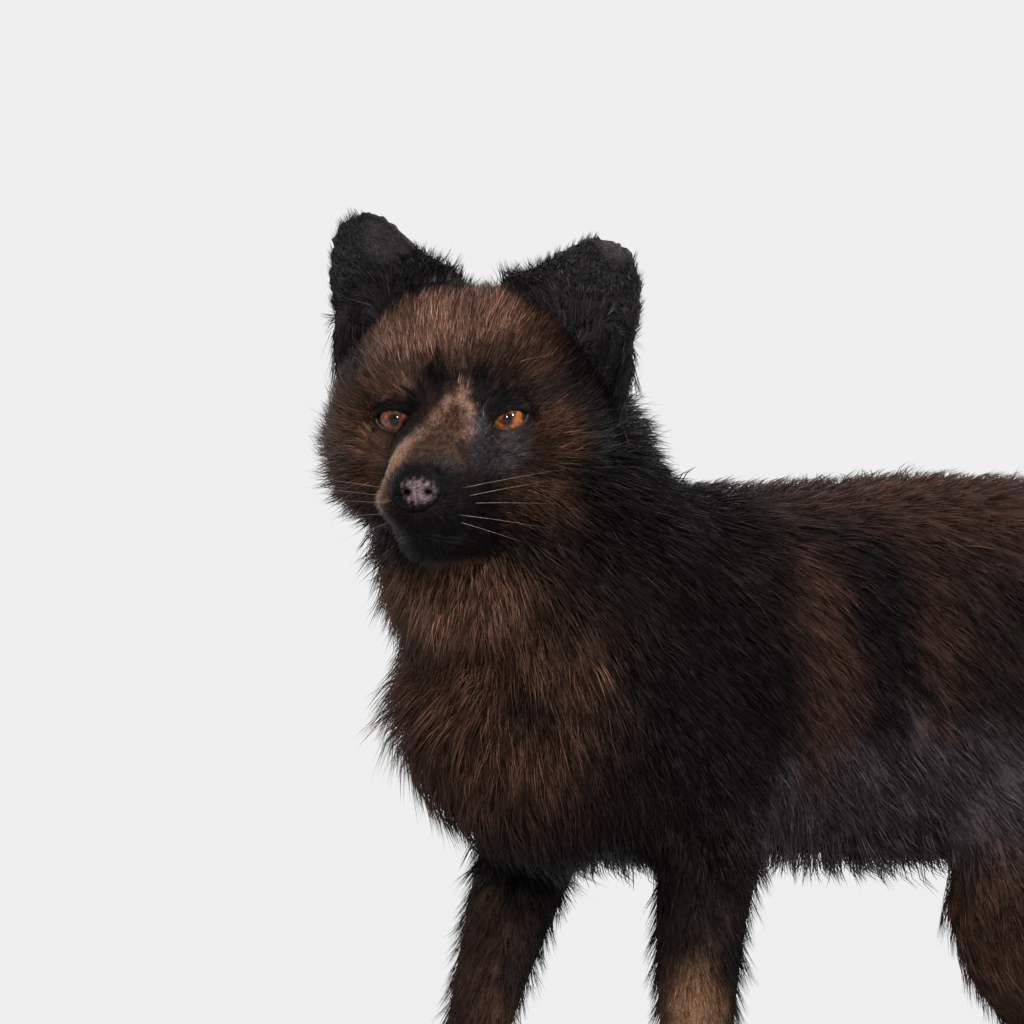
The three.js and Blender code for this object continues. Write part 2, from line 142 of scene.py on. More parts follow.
def averaged(values, edges, rounds, share=0.5):
    """Each vertex's value moved towards its neighbours' mean, a number of rounds."""
    a, b = edges.T
    count = len(values)
    degree = np.maximum(np.bincount(edges.ravel(), minlength=count), 1)[:, None]
    for _ in range(rounds):
        total = [
            np.bincount(a, column[b], count) + np.bincount(b, column[a], count)
            for column in values.T
        ]
        values = values + share * (np.stack(total, 1) / degree - values)
    return values


def soft_normals(verts, tris, edges, rounds):
    return unit(averaged(normals_of(verts, tris), edges, rounds))


def waves(points, size, seed):
    """Soft seeded variation over space, about -1 to 1; size is its grain in millimetres."""
    rng = np.random.default_rng(seed)
    found = np.zeros(len(points))
    for _ in range(8):
        found += np.sin(points @ (unit(rng.normal(size=3)) * 2 * math.pi / size) + rng.random() * 7)
    return found / 4


def placed(name, data):
    obj = bpy.data.objects.new(name, data)
    scene.collection.objects.link(obj)
    return obj


def mesh_object(name, verts, tris, *materials):
    mesh = bpy.data.meshes.new(name)
    mesh.vertices.add(len(verts))
    mesh.vertices.foreach_set("co", np.asarray(verts, np.float32).ravel())
    mesh.loops.add(len(tris) * 3)
    mesh.loops.foreach_set("vertex_index", np.asarray(tris, np.int32).ravel())
    mesh.polygons.add(len(tris))
    mesh.polygons.foreach_set("loop_start", np.arange(0, len(tris) * 3, 3, dtype=np.int32))
    mesh.polygons.foreach_set("use_smooth", np.ones(len(tris), bool))
    mesh.update(calc_edges=True)
    for each in materials:
        mesh.materials.append(each)
    return placed(name, mesh)


def paint(obj, name, colours):
    """A colour for each vertex, under a name that the materials read."""
    layer = obj.data.attributes.new(name, "FLOAT_COLOR", "POINT")
    rgba = np.ones((len(colours), 4), np.float32)
    rgba[:, :3] = colours
    layer.data.foreach_set("color", rgba.ravel())


def without_specks(verts, tris):
    """The surface without closed bits of only a few triangles."""
    label, pairs = np.arange(len(verts)), edges_of(tris)
    settled = False
    while not settled:
        low = np.minimum(label[pairs[:, 0]], label[pairs[:, 1]])
        lower = label.copy()
        np.minimum.at(lower, pairs[:, 0], low)
        np.minimum.at(lower, pairs[:, 1], low)
        lower = lower[lower]
        settled, label = (lower == label).all(), lower
    bit = label[tris[:, 0]]
    kept = tris[np.bincount(bit)[bit] > SPECK]
    used, places = np.unique(kept, return_inverse=True)
    return verts[used], places.reshape(kept.shape)


def joined(shells):
    """Vertices and triangles of several shells together."""
    starts = np.cumsum([0] + [len(verts) for verts, _ in shells[:-1]])
    tris = [tris + start for (_, tris), start in zip(shells, starts)]
    return np.concatenate([verts for verts, _ in shells]), np.concatenate(tris)


def remeshed(shells, voxel):
    """One closed surface round several overlapping shells."""
    obj = mesh_object("shells", *joined(shells))
    cut = obj.modifiers.new("remesh", "REMESH")
    cut.mode = "VOXEL"
    cut.voxel_size = voxel
    done = bpy.data.meshes.new_from_object(
        obj.evaluated_get(bpy.context.evaluated_depsgraph_get())
    )
    verts, tris = arrays_of(done)
    bpy.data.meshes.remove(done)
    bpy.data.objects.remove(obj)
    return without_specks(verts, tris)


def globe(rows, columns, crowding=1.0):
    """A closed ball of radius 1 with its poles at -Y and +Y, its rings crowded towards -Y."""
    polar = np.repeat(math.pi * (np.arange(1, rows) / rows) ** crowding, columns)
    turn = np.tile(np.arange(columns) / columns * 2 * math.pi, rows - 1)
    flat = np.sin(polar)
    verts = np.stack([flat * np.cos(turn), -np.cos(polar), flat * np.sin(turn)], 1)
    verts = np.concatenate([verts, [[0, -1, 0], [0, 1, 0]]])
    first, last, end = len(verts) - 2, len(verts) - 1, (rows - 2) * columns
    tris = []
    for j in range(columns):
        n = (j + 1) % columns
        tris += [(first, j, n), (last, end + n, end + j)]
        for a in range(0, end, columns):
            b = a + columns
            tris += [(a + j, b + n, a + n), (a + j, b + j, b + n)]
    return verts, np.array(tris)


def tree_of(verts, tris):
    return BVHTree.FromPolygons(verts.tolist(), tris.tolist())


def reached(tree, start, way):
    """How far a ray in the head's axes runs until it meets the surface, in millimetres."""
    length = tree.ray_cast(Vector(from_head(start)), Vector(HEAD_TURN @ way))[3]
    return length / MM if length else None


# ---- the skin's shape
# For each region: how far the facets are smoothed, the depth of the coat, and the length, width
# and lift of its tufts, in millimetres and degrees.
REGIONS = {
    "head": (0.25, 5.0, 12.0, 0.34, 24),
    "neck": (0.5, 12.5, 24.0, 0.44, 14),
    "trunk": (0.5, 3.0, 25.0, 0.44, 11),
    "upper": (0.5, 5.0, 23.0, 0.46, 11),
    "leg": (0.4, 4.0, 17.0, 0.40, 20),
    "foot": (0.1, 1.6, 4.5, 0.34, 13),
    "tail": (0.5, 20.0, 44.0, 0.7, 28),
    "ear": (0.3, 0.5, 1.7, 0.26, 17),
}
NAMES = list(REGIONS)
REGION_OF = {"head": "head", "lower_jaw": "head", "neck": "neck", "trunk": "trunk"}
REGION_OF |= {"shoulder": "upper", "thigh": "upper", "forearm": "leg", "shank": "leg"}
REGION_OF |= {"forepaw": "foot", "hindfoot": "foot", "tail": "tail", "tail_tip": "tail"}
SMOOTH = 0  # its place in a row
DEEP, LONG, WIDE, LIFT = range(4)  # places in a row of coat fields


def stem(node):
    return node.removesuffix("_left").removesuffix("_right")


FLESH = sorted(n for n in NODES if stem(n) in REGION_OF)
EARS = ["ear_left", "ear_right"]
CUT_CLOSED = 0.4 * MM  # closes the thin cuts between the nodes
BODY_VOXEL = 3.0 * MM
EAR_VOXEL = 1.3 * MM


def shell_of(node, grow):
    verts, tris = welded(*arrays_of(NODES[node].data))
    return verts + normals_of(verts, tris) * grow, tris


flesh_shells = [shell_of(n, CUT_CLOSED) for n in FLESH]
skin, skin_tris = remeshed(flesh_shells, BODY_VOXEL)
skin_edges = edges_of(skin_tris)

owner = np.concatenate(
    [[NAMES.index(REGION_OF[stem(n)])] * len(t) for n, (_, t) in zip(FLESH, flesh_shells)]
)
cad_tree = tree_of(*joined(flesh_shells))
label = np.array([owner[cad_tree.find_nearest(p)[2]] for p in skin.tolist()])
share = np.eye(len(NAMES))[label]
share = averaged(share, skin_edges, rounds=14)
table = np.array([REGIONS[n] for n in NAMES])
skin = averaged(skin, skin_edges, rounds=26, share=share @ table[:, [SMOOTH]])

# ---- fields over the skin
# Distance from the middle of the face, in millimetres, against the coat's depth, length, width
# and lift there.
FACE_MIDDLE = np.array([0, -45, -12])
FACE_STEPS = [20, 45, 60, 80, 100, 122]
FACE_DEPTHS = [0.8, 1.5, 2.7, 4.8, 7.5, 11.0]
FACE_LENGTHS = [5.5, 9.5, 12.5, 16.0, 18.0, 23.0]
FACE_WIDTHS = [0.22, 0.26, 0.28, 0.30, 0.36, 0.44]
FACE_LIFTS = [8, 9, 13, 18, 21, 18]


def coat_fields(verts, share):
    """Depth, length, width and lift of the coat at each vertex."""
    depth, length, width, lift = (share @ table[:, SMOOTH + 1 :]).T
    on_head = share[:, NAMES.index("head")]
    head = to_head(verts)
    away = np.linalg.norm(head - FACE_MIDDLE, axis=1)
    low_cheek = ramp(head[:, 2], 0, -45) * ramp(away, 60, 95)
    face_depth = np.interp(away, FACE_STEPS, FACE_DEPTHS) + 2 * low_cheek
    depth = towards(depth, face_depth, on_head)
    ruff = ramp(np.abs(head[:, 0]), 38, 52) * ramp(head[:, 2], 12, -10) * on_head
    depth = depth - 0.5 * ruff
    face_length = np.interp(away, FACE_STEPS, FACE_LENGTHS) * (1 + 0.4 * low_cheek + 0.35 * ruff)
    length = towards(length, face_length, on_head)
    width = towards(width, np.interp(away, FACE_STEPS, FACE_WIDTHS), on_head)
    face_lift = np.interp(away, FACE_STEPS, FACE_LIFTS) + 14 * low_cheek + 2 * ruff
    lift = towards(lift, face_lift, on_head)
    crown = ramp(head[:, 2], 32, 48) * ramp(np.abs(head[:, 0]), 36, 18) * on_head
    depth = depth - 5 * crown
    lift = lift - 5 * crown
    # The throat and breast stand out more than the back does.
    body = to_body(verts)
    fluffy = ramp(body[:, 1] - 0.35 * body[:, 2], -40, -110) * ramp(on_head, 0.6, 0.2)
    fluffy = fluffy * ramp(body[:, 2], 180, 240)
    depth, length, lift = depth + 3 * fluffy, length + 4 * fluffy, lift + 14 * fluffy
    above_paw = ramp(body[:, 2], 20, 75) * share[:, NAMES.index("foot")]
    length, lift = length + 6 * above_paw, lift + 5 * above_paw
    # Longer hair hangs under the belly and between the forelegs.
    on_trunk = share[:, NAMES.index("trunk")]
    under = ramp(body[:, 2], 250, 222) * ramp(on_trunk, 0.3, 0.8)
    length, lift = length + 5 * under, lift + 15 * under
    return np.stack([depth * MM, length * MM, width * MM, np.radians(lift)], 1)


# The skin lies inside the outline by the depth of the coat, and by no more than a share of the
# thickness there.
SHARE_OF_THICKNESS, THICKEST, JUST_INSIDE = 0.3, 0.2, 0.5 * MM
fields = coat_fields(skin, share)
out = soft_normals(skin, skin_tris, skin_edges, rounds=6)
inner_tree = tree_of(skin, skin_tris)
through = np.full(len(skin), THICKEST)
for i, (p, n) in enumerate(zip(skin.tolist(), out.tolist())):
    n = Vector(n)
    through[i] = inner_tree.ray_cast(Vector(p) - n * JUST_INSIDE, -n)[3] or THICKEST
fields[:, DEEP] = np.minimum(fields[:, DEEP], SHARE_OF_THICKNESS * through)
fields[:, [DEEP]] = averaged(fields[:, [DEEP]], skin_edges, rounds=8)
skin = skin - out * fields[:, [DEEP]]
skin = averaged(skin, skin_edges, rounds=3, share=0.3)
skin_normals = soft_normals(skin, skin_tris, skin_edges, rounds=3)


def distance_from(start, verts, edges):
    """Distance over the skin from one vertex to each."""
    length = np.linalg.norm(verts[edges[:, 0]] - verts[edges[:, 1]], axis=1)
    near = [[] for _ in verts]
    for (a, b), d in zip(edges.tolist(), length.tolist()):
        near[a].append((b, d))
        near[b].append((a, d))
    found = [math.inf] * len(verts)
    found[start] = 0.0
    queue = [(0.0, start)]
    while queue:
        here, a = heapq.heappop(queue)
        if here > found[a]:
            continue
        for b, d in near[a]:
            if here + d < found[b]:
                found[b] = here + d
                heapq.heappush(queue, (here + d, b))
    found = np.array(found)
    found[~np.isfinite(found)] = found[np.isfinite(found)].max()
    return found


def gradient_of(values, verts, tris):
    """Direction over the surface in which a value grows, at each vertex."""
    p0, p1, p2 = (verts[tris[:, k]] for k in range(3))
    normal = np.cross(p1 - p0, p2 - p0)
    twice = np.maximum(np.einsum("ij,ij->i", normal, normal), 1e-20)[:, None]
    v0, v1, v2 = (values[tris[:, k], None] for k in range(3))
    along = np.cross(normal, v0 * (p2 - p1) + v1 * (p0 - p2) + v2 * (p1 - p0)) / twice
    return unit(gathered(along * np.sqrt(twice), tris, len(verts)))


def flat_to(normals, v):
    return unit(v - normals * np.einsum("ij,ij->i", v, normals)[:, None])


nose_tip = from_head([0, -78, -26])
start = int(np.argmin(np.linalg.norm(skin - nose_tip, axis=1)))
travelled = distance_from(start, skin, skin_edges)
travelled = averaged(travelled[:, None], skin_edges, rounds=20)[:, 0]
lie = gradient_of(travelled, skin, skin_tris)
# The coat also hangs: most on the flanks and the chest, least on the head and the legs.
HANG = {"head": 0.12, "neck": 0.45, "trunk": 0.7, "upper": 0.5, "leg": 0.2, "tail": 0.1}
hang = share @ np.array([[HANG.get(n, 0)] for n in NAMES])
lie = flat_to(skin_normals, lie + hang * np.array([0, 0, -1]))
lie = flat_to(skin_normals, averaged(lie, skin_edges, rounds=12))

# ---- the ears
EAR_LEAN = {"ear_left": (1, 24), "ear_right": (-1, 19)}
EAR_ROOT, EAR_SPREAD, EAR_HALF = 16, 7, 14
RAGGED = 1.5  # depth of the rim's notches, in millimetres


def ear_shell(node):
    """The ear with a ragged rim, as a shell with what its coat needs."""
    verts, tris = remeshed([shell_of(node, 0)], EAR_VOXEL)
    edges = edges_of(tris)
    verts = averaged(verts, edges, rounds=8, share=0.45)
    side, lean = EAR_LEAN[node]
    lean = math.radians(lean)
    up = HEAD_TURN @ np.array([side * math.sin(lean), 0, math.cos(lean)])
    # The foot of the ear goes on down to the skin of the head.
    above = np.array([cad_tree.find_nearest(p)[3] for p in verts.tolist()]) / MM
    foot = ramp(above, 24, 3)
    blunt = averaged(normals_of(verts, tris), edges, rounds=7)
    rim = ramp(np.linalg.norm(blunt, axis=1), 0.92, 0.6) * (1 - foot)
    ragged = waves(verts / MM, 5.5, 31) + 0.6 * waves(verts / MM, 2.8, 32)
    dents = 0.35 * waves(verts / MM, 9, 33)
    for rough in (RAGGED * rim * ragged, dents * (1 - rim)):
        verts = verts + rough[:, None] * MM * unit(blunt)
    across = flat_to(up[None], (HEAD_TURN @ np.array([1.0, 0, 0]))[None])[0]
    aside = np.clip((verts - verts.mean(0)) @ across / (EAR_HALF * MM), -1, 1)
    widen = ramp(above, 20, 1) ** 2 * aside
    verts = verts + np.outer(widen * EAR_SPREAD * MM, across)
    verts = verts - np.outer(ramp(above, 7, 1) * EAR_ROOT * MM, up)
    normals = normals_of(verts, tris)
    # Hair at the foot leans over the crown on the inner side, and hangs on the outer.
    outer = side * aside
    lie = np.outer(1 - 2.4 * foot * np.maximum(outer, 0), up)
    lie = lie + np.outer(side * foot * np.where(outer > 0, 0.3, 1.6) * outer, across)
    return verts, tris, normals, flat_to(normals, lie), foot, rim, outer


# ---- eyelids
LID_STEPS = 56
LID_REACH, LID_THICK, LID_EDGE_THICK = 15.0, 1.1, 0.5
LID_HALF = {1: (7.5, 3.9, 3.4), -1: (7.9, 4.2, 4.3)}  # along the eye, up and down
LID_TILT = {1: 15, -1: 4}
BROW = 1.5  # how far the upper lid stands out over the lower
# Rings from the eyeball outwards: share of the opening, height over the eyeball.
LID_EDGE = [(0.98, 0.15), (1.0, 0.75), (1.06, 1.25), (1.16, 1.5), (1.3, 1.6)]
LID_RINGS = 9
LID_CLEAR, LID_ROUND = 1.5, 24  # the skin keeps this far below the lids, this far round the eye
LID_HELD = {1: 0.0, -1: 0.4}  # how far out the lids stay low towards the nose
EYE_TOE = {1: 25, -1: 4}


def eye_axes(side):
    """Centre of an eye, its axis outwards, and the axes away from the nose and up."""
    turn = math.radians(side * EYE_TOE[side])
    centre = np.array([side * EYE_ASIDE, EYE_BEHIND, 0])
    ahead = np.array([math.sin(turn), -math.cos(turn), 0])
    away = side * np.array([math.cos(turn), math.sin(turn), 0])
    return centre, ahead, away, np.array([0, 0, 1.0])


def eyelids(side, tree):
    """A closed shell round the eye, from the edge of the lids out to the skin."""
    centre, ahead, away, up = eye_axes(side)
    ring_angle = np.arange(LID_STEPS) / LID_STEPS * 2 * math.pi
    c, d = np.cos(ring_angle), np.sin(ring_angle)
    half, high, low = LID_HALF[side]
    tilt = math.radians(LID_TILT[side])
    x = half * c
    y = np.where(d > 0, high, low) * d * (1 - 0.22 * c * c)
    c0, s0 = math.cos(tilt), math.sin(tilt)
    x, y = x * c0 - y * s0, x * s0 + y * c0
    outer = []
    for a, b in zip(c * LID_REACH, d * LID_REACH):
        run = reached(tree, centre + ahead * FAR_OUT + away * a + up * b, -ahead)
        outer.append(FAR_OUT - run if run else 0.0)
    outer = np.array(outer)
    for _ in range(6):
        outer = (np.roll(outer, 1) + outer + np.roll(outer, -1)) / 3
    rings, levels = [], []
    for grow, over in LID_EDGE:
        a, b = x * grow, y * grow
        over = over + BROW * max(0, grow - 1) / 0.3 * ramp(d, -0.2, 0.8)
        height = np.sqrt(np.maximum((EYE_RADIUS + over) ** 2 - a * a - b * b, 1))
        rings.append((a, b, height))
        levels.append((grow - 1.3) * np.ones(LID_STEPS) - (0.02 < grow - 0.98 < 0.1) * (d < -0.1))
    a0, b0, h0 = rings[-1]
    for k in range(1, LID_RINGS + 1):
        t = k / LID_RINGS
        a, b = a0 + (c * LID_REACH - a0) * t, b0 + (d * LID_REACH - b0) * t
        # A crease above the upper lid and a shallower one under the lower.
        crease = -0.7 * bell(t, 0.28, 0.11) * ramp(d, -0.2, 0.5)
        crease -= 0.45 * bell(t, 0.35, 0.1) * ramp(d, 0.1, -0.5)
        rise = ramp(t, LID_HELD[side] * ramp(c, 0.2, -0.7) - 0.15, 1.05)
        height = h0 + (outer - 0.6 * ramp(t, 0.6, 1) - h0) * rise + crease
        rings.append((a, b, height))
        levels.append(t * np.ones(LID_STEPS))
    front = np.stack(
        [centre + np.outer(a, away) + np.outer(b, up) + np.outer(h, ahead) for a, b, h in rings]
    )
    back = front - ahead * LID_THICK
    back[0] = front[0] - ahead * LID_EDGE_THICK
    shell = np.concatenate([front, back[::-1]])
    count = len(shell)
    tris = []
    for k in range(count):
        here, there = k * LID_STEPS, (k + 1) % count * LID_STEPS
        for j in range(LID_STEPS):
            n = (j + 1) % LID_STEPS
            tris += [(here + j, here + n, there + n), (here + j, there + n, there + j)]
    tris = np.array(tris)
    if side > 0:
        tris = tris[:, ::-1]
    level = np.concatenate(levels + [-np.ones(LID_STEPS)] * len(rings))
    return from_head(shell.reshape(-1, 3)), tris, level


# Under the nose the muzzle narrows and lies back.
at = to_head(skin)
under = ramp(at[:, 2], -28, -46) * ramp(at[:, 1], -36, -62) * ramp(share[:, 0], 0.5, 1)
shift = np.stack([-0.2 * at[:, 0] * under, 7 * under, 0 * under], 1)
skin = skin + shift * MM @ HEAD_TURN.T
skin_normals = soft_normals(skin, skin_tris, skin_edges, rounds=3)
body_tree = tree_of(skin, skin_tris)
lids = []
for side in (1, -1):
    verts, tris, level = eyelids(side, body_tree)
    lid_tree = tree_of(verts, tris)
    axis = Vector(HEAD_TURN @ eye_axes(side)[1])
    centre = from_head(eye_axes(side)[0])
    for i in np.flatnonzero(np.linalg.norm(skin - centre, axis=1) < LID_ROUND * MM):
        hit = lid_tree.ray_cast(Vector(skin[i]) + axis * 0.03, -axis, 0.06)
        if hit[0] is not None and (Vector(skin[i]) - hit[0]).dot(axis) > -LID_CLEAR * MM:
            skin[i] = hit[0] - axis * LID_CLEAR * MM
    # No skin stands in front of the eyeball, in the opening between the lids.
    centre, ahead, away, up = eye_axes(side)
    at = to_head(skin) - centre
    aside = np.hypot(at @ away, at @ up)
    limit = np.sqrt(np.maximum(EYE_RADIUS**2 - aside**2, 0)) - LID_CLEAR
    sink = np.where((aside < EYE_RADIUS - 0.2) & (at @ ahead > limit), at @ ahead - limit, 0)
    skin = skin - np.outer(sink, ahead) * MM @ HEAD_TURN.T
    lids.append((verts, tris, level))

# ---- lips
LIP_CORNER, LIP_FRONT, LIP_ROUND = -13, -58, 14
LIP_LEVEL, LIP_LEVEL_AT = -45, -64
LIP_SLOPE = math.tan(math.radians(-8))
LIP_SIDES, LIP_SUNK = 8, 0.35


def lip_line(lift):
    """Points along the closed mouth, on the skin, from one corner round to the other."""
    points = []
    stops = [(math.radians(90), y) for y in np.linspace(LIP_CORNER, LIP_FRONT, 16)]
    stops += [(math.radians(a), LIP_FRONT) for a in range(80, -81, -10)]
    stops += [(math.radians(-90), y) for y in np.linspace(LIP_FRONT, LIP_CORNER, 16)]
    for turn, y in stops:
        out_way = np.array([math.sin(turn), -math.cos(turn), 0])
        reach = y + (out_way[1] * LIP_ROUND if abs(turn) < 1.5 else 0)
        z = LIP_LEVEL + LIP_SLOPE * (reach - LIP_LEVEL_AT) + lift
        far = np.array([0, y, z]) + out_way * FAR_OUT
        run = reached(body_tree, far, -out_way)
        if run:
            points.append(far - out_way * (run + LIP_SUNK))
    points = np.array(points)
    for _ in range(3):
        points[1:-1] = (points[:-2] + points[1:-1] + points[2:]) / 3
    return points


def tube(path, radii, sides):
    """A closed tube along a path; radii narrow to a point where they are zero."""
    path = np.asarray(path, float)
    along = unit(np.gradient(path, axis=0))
    first = unit(np.cross(along, [0.0, 0.0, 1.0]))
    second = np.cross(first, along)
    turn = np.arange(sides) / sides * 2 * math.pi
    cosine, sine = np.cos(turn)[None, :, None], np.sin(turn)[None, :, None]
    around = first[:, None] * cosine + second[:, None] * sine
    rings = path[:, None] + np.asarray(radii)[:, None, None] * around
    count = len(path)
    verts = np.concatenate([rings.reshape(-1, 3), path[[0]], path[[-1]]])
    tris = []
    for here in range(0, (count - 1) * sides, sides):
        there = here + sides
        for j in range(sides):
            n = (j + 1) % sides
            tris += [(here + j, there + n, here + n), (here + j, there + j, there + n)]
    last = (count - 1) * sides
    for j in range(sides):
        n = (j + 1) % sides
        tris += [(j, n, count * sides), (last + n, last + j, count * sides + 1)]
    return verts, np.array(tris)


lips = []
for lift, thick in ((0.7, 1.0), (-0.9, 0.9)):
    line = lip_line(lift)
    ends = np.minimum(np.arange(len(line)), np.arange(len(line))[::-1])
    lips.append(tube(from_head(line), thick * MM * (0.3 + 0.7 * ramp(ends, 0, 6)), LIP_SIDES))

# ---- the whole hide
TOE_HALF, TOE_BEHIND, TOE_HIGH = np.array([5.2, 12.0, 7.6]), 10.0, 7.9
TOE_ROWS, TOE_COLUMNS = 12, 16
LIPS_BARE = 0.45
# Each row: vertices, triangles, normals, lie, share of each region, coat fields, and how bare:
# 0 in fur, 1 on bare skin, more on the rims of the lids and on the ears' dried leather, painted
# paler there also as a painted highlight.
rows = [(skin, skin_tris, skin_normals, lie, share, fields, np.zeros(len(skin)))]


def in_region(name, verts):
    """Shares and coat fields of vertices that all lie in one region."""
    shares = np.tile(np.eye(len(NAMES))[NAMES.index(name)], (len(verts), 1))
    return shares, coat_fields(verts, shares)


near_skin = KDTree(len(skin))
for i, p in enumerate(skin.tolist()):
    near_skin.insert(p, i)
near_skin.balance()
EAR_DRIED_AND_HIGHLIGHT = {"ear_left": ((66, 46, 74), 9), "ear_right": ((-30, 41, 78), 17)}  # dried patches, painted paler also as painted highlights
for node in EARS:
    verts, tris, normals, up, foot, rim, outer = ear_shell(node)
    shares, coat = in_region("ear", verts)
    coat[:, LONG] *= 1 + np.where(outer > 0, 2.7, 0.9) * foot**1.5
    coat[:, WIDE] *= 1 + 0.5 * foot
    coat[:, LIFT] *= 1 - 0.55 * foot
    # The rims and dried patches of the ears are bare leather painted paler: partly the dried skin's
    # own colour, partly a painted highlight.
    centre, reach = EAR_DRIED_AND_HIGHLIGHT[node]
    worn = ramp(np.linalg.norm((to_head(verts) - centre) / reach, axis=1), 1.3, 0.7)
    leather = np.maximum(0.8 * ramp(rim, 0.35, 0.8), worn) * (1 + 0.6 * waves(verts / MM, 3, 34))
    bare = np.clip(ramp(foot, 0.45, 0.1) * (1.1 + 0.5 * leather), 0, 1.7)
    rows.append((verts, tris, normals, up, shares, coat, bare))
for verts, tris, level in lids:
    normals = normals_of(verts, tris)
    close = [near_skin.find(p)[1] for p in verts.tolist()]
    shares, coat = in_region("head", verts)
    coat[:, LONG] *= 0.32 + 0.68 * ramp(level, 0.1, 0.8)
    bare = ramp(level, -0.02, -0.15) + ramp(level, -1.02, -1.1)
    rows.append((verts, tris, normals, flat_to(normals, lie[close]), shares, coat, bare))
for verts, tris in lips:
    normals = normals_of(verts, tris)
    bare = np.full(len(verts), LIPS_BARE)
    rows.append((verts, tris, normals, normals, *in_region("head", verts), bare))
for node in sorted(n for n in NODES if n.startswith("claw")):
    # A toe behind each claw, so that the paws are cleft.
    low, high = (np.array(corner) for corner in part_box(node))
    ball, tris = globe(TOE_ROWS, TOE_COLUMNS)
    centre = [(low[0] + high[0]) / 2, high[1] + TOE_BEHIND * MM, TOE_HIGH * MM]
    verts = centre + ball * TOE_HALF * MM
    normals = normals_of(verts, tris)
    forwards = flat_to(normals, np.tile([0, -1, -0.3], (len(verts), 1)))
    bare = np.zeros(len(verts))
    rows.append((verts, tris, normals, forwards, *in_region("foot", verts), bare))
hide, hide_tris = joined([row[:2] for row in rows])
hide_normals, hide_lie, hide_share, hide_fields, hide_bare = (
    np.concatenate(column) for column in list(zip(*rows))[2:]
)

# ---- markings
BLACK = (0.0042, 0.0032, 0.0036)
DARK = (0.0135, 0.0080, 0.0066)
BROWN = (0.060, 0.027, 0.016)
FOREHEAD = (0.200, 0.102, 0.070)
STREAK = (0.260, 0.145, 0.104)
SAND = (0.33, 0.185, 0.118)
CHEST = (0.052, 0.0245, 0.0155)
OCHRE = (0.125, 0.062, 0.040)
TAN = (0.200, 0.102, 0.055)
EAR = (0.0125, 0.0110, 0.0122)
RUST = (0.042, 0.0185, 0.0125)
SLATE = (0.028, 0.0235, 0.0255)
ASH = (0.034, 0.027, 0.032)
LID_GREY = (0.09, 0.082, 0.088)
CREAM = (0.42, 0.35, 0.27)
# Patches in each part's own axes, each over the ones before it: middle, reach, colour, strength.
BODY_PATCHES = [
    ((0, 300, 400), (100, 170, 60), RUST, 0.95),  # back and rump
    ((60, 200, 250), (70, 110, 46), ASH, 0.85),  # lower flanks and belly
    ((-60, 200, 250), (70, 110, 46), ASH, 0.85),
    ((60, 196, 208), (70, 130, 24), DARK, 0.7),
    ((76, 150, 312), (40, 20, 70), RUST, 0.7),  # bands down the flank
    ((76, 213, 335), (34, 15, 60), RUST, 0.6),
    ((-76, 180, 330), (34, 18, 60), RUST, 0.6),
    ((76, 184, 335), (34, 18, 66), BLACK, 0.92),
    ((20, -10, 300), (80, 58, 70), CHEST, 0.9),  # breast
    ((30, -34, 348), (60, 40, 22), OCHRE, 0.75),  # throat
    ((20, -40, 346), (26, 30, 14), OCHRE, 0.55),
    ((64, 20, 318), (13, 22, 20), OCHRE, 0.55),
    ((30, -22, 290), (24, 22, 12), BROWN, 0.6),
    ((60, 6, 262), (16, 24, 22), BROWN, 0.45),
    ((42, -20, 328), (15, 22, 11), BLACK, 0.6),
    ((52, 8, 298), (12, 20, 16), BLACK, 0.75),
    ((34, -12, 262), (20, 22, 10), DARK, 0.6),
    ((78, 92, 300), (36, 50, 70), BLACK, 0.9),  # shoulders
    ((-78, 92, 300), (36, 46, 66), BLACK, 0.85),
    ((40, 75, 400), (78, 75, 62), BLACK, 0.9),  # nape and sides of the neck
    ((-40, 80, 395), (60, 70, 62), BLACK, 0.8),
    ((10, 60, 222), (90, 80, 26), BLACK, 0.8),  # between the forelegs
    ((52, 116, 170), (30, 17, 80), BLACK, 0.8),
    ((68, 80, 140), (30, 27, 54), TAN, 0.74),  # front of the near foreleg
    ((84, 96, 140), (9, 9, 20), DARK, 0.5),
    ((-47, 46, 160), (20, 14, 70), BROWN, 0.36),
    ((-46, 84, 190), (30, 18, 80), BLACK, 0.7),
    ((66, 258, 180), (30, 34, 56), BROWN, 0.5),  # front of the thighs
    ((-66, 368, 180), (30, 34, 56), BROWN, 0.5),
]
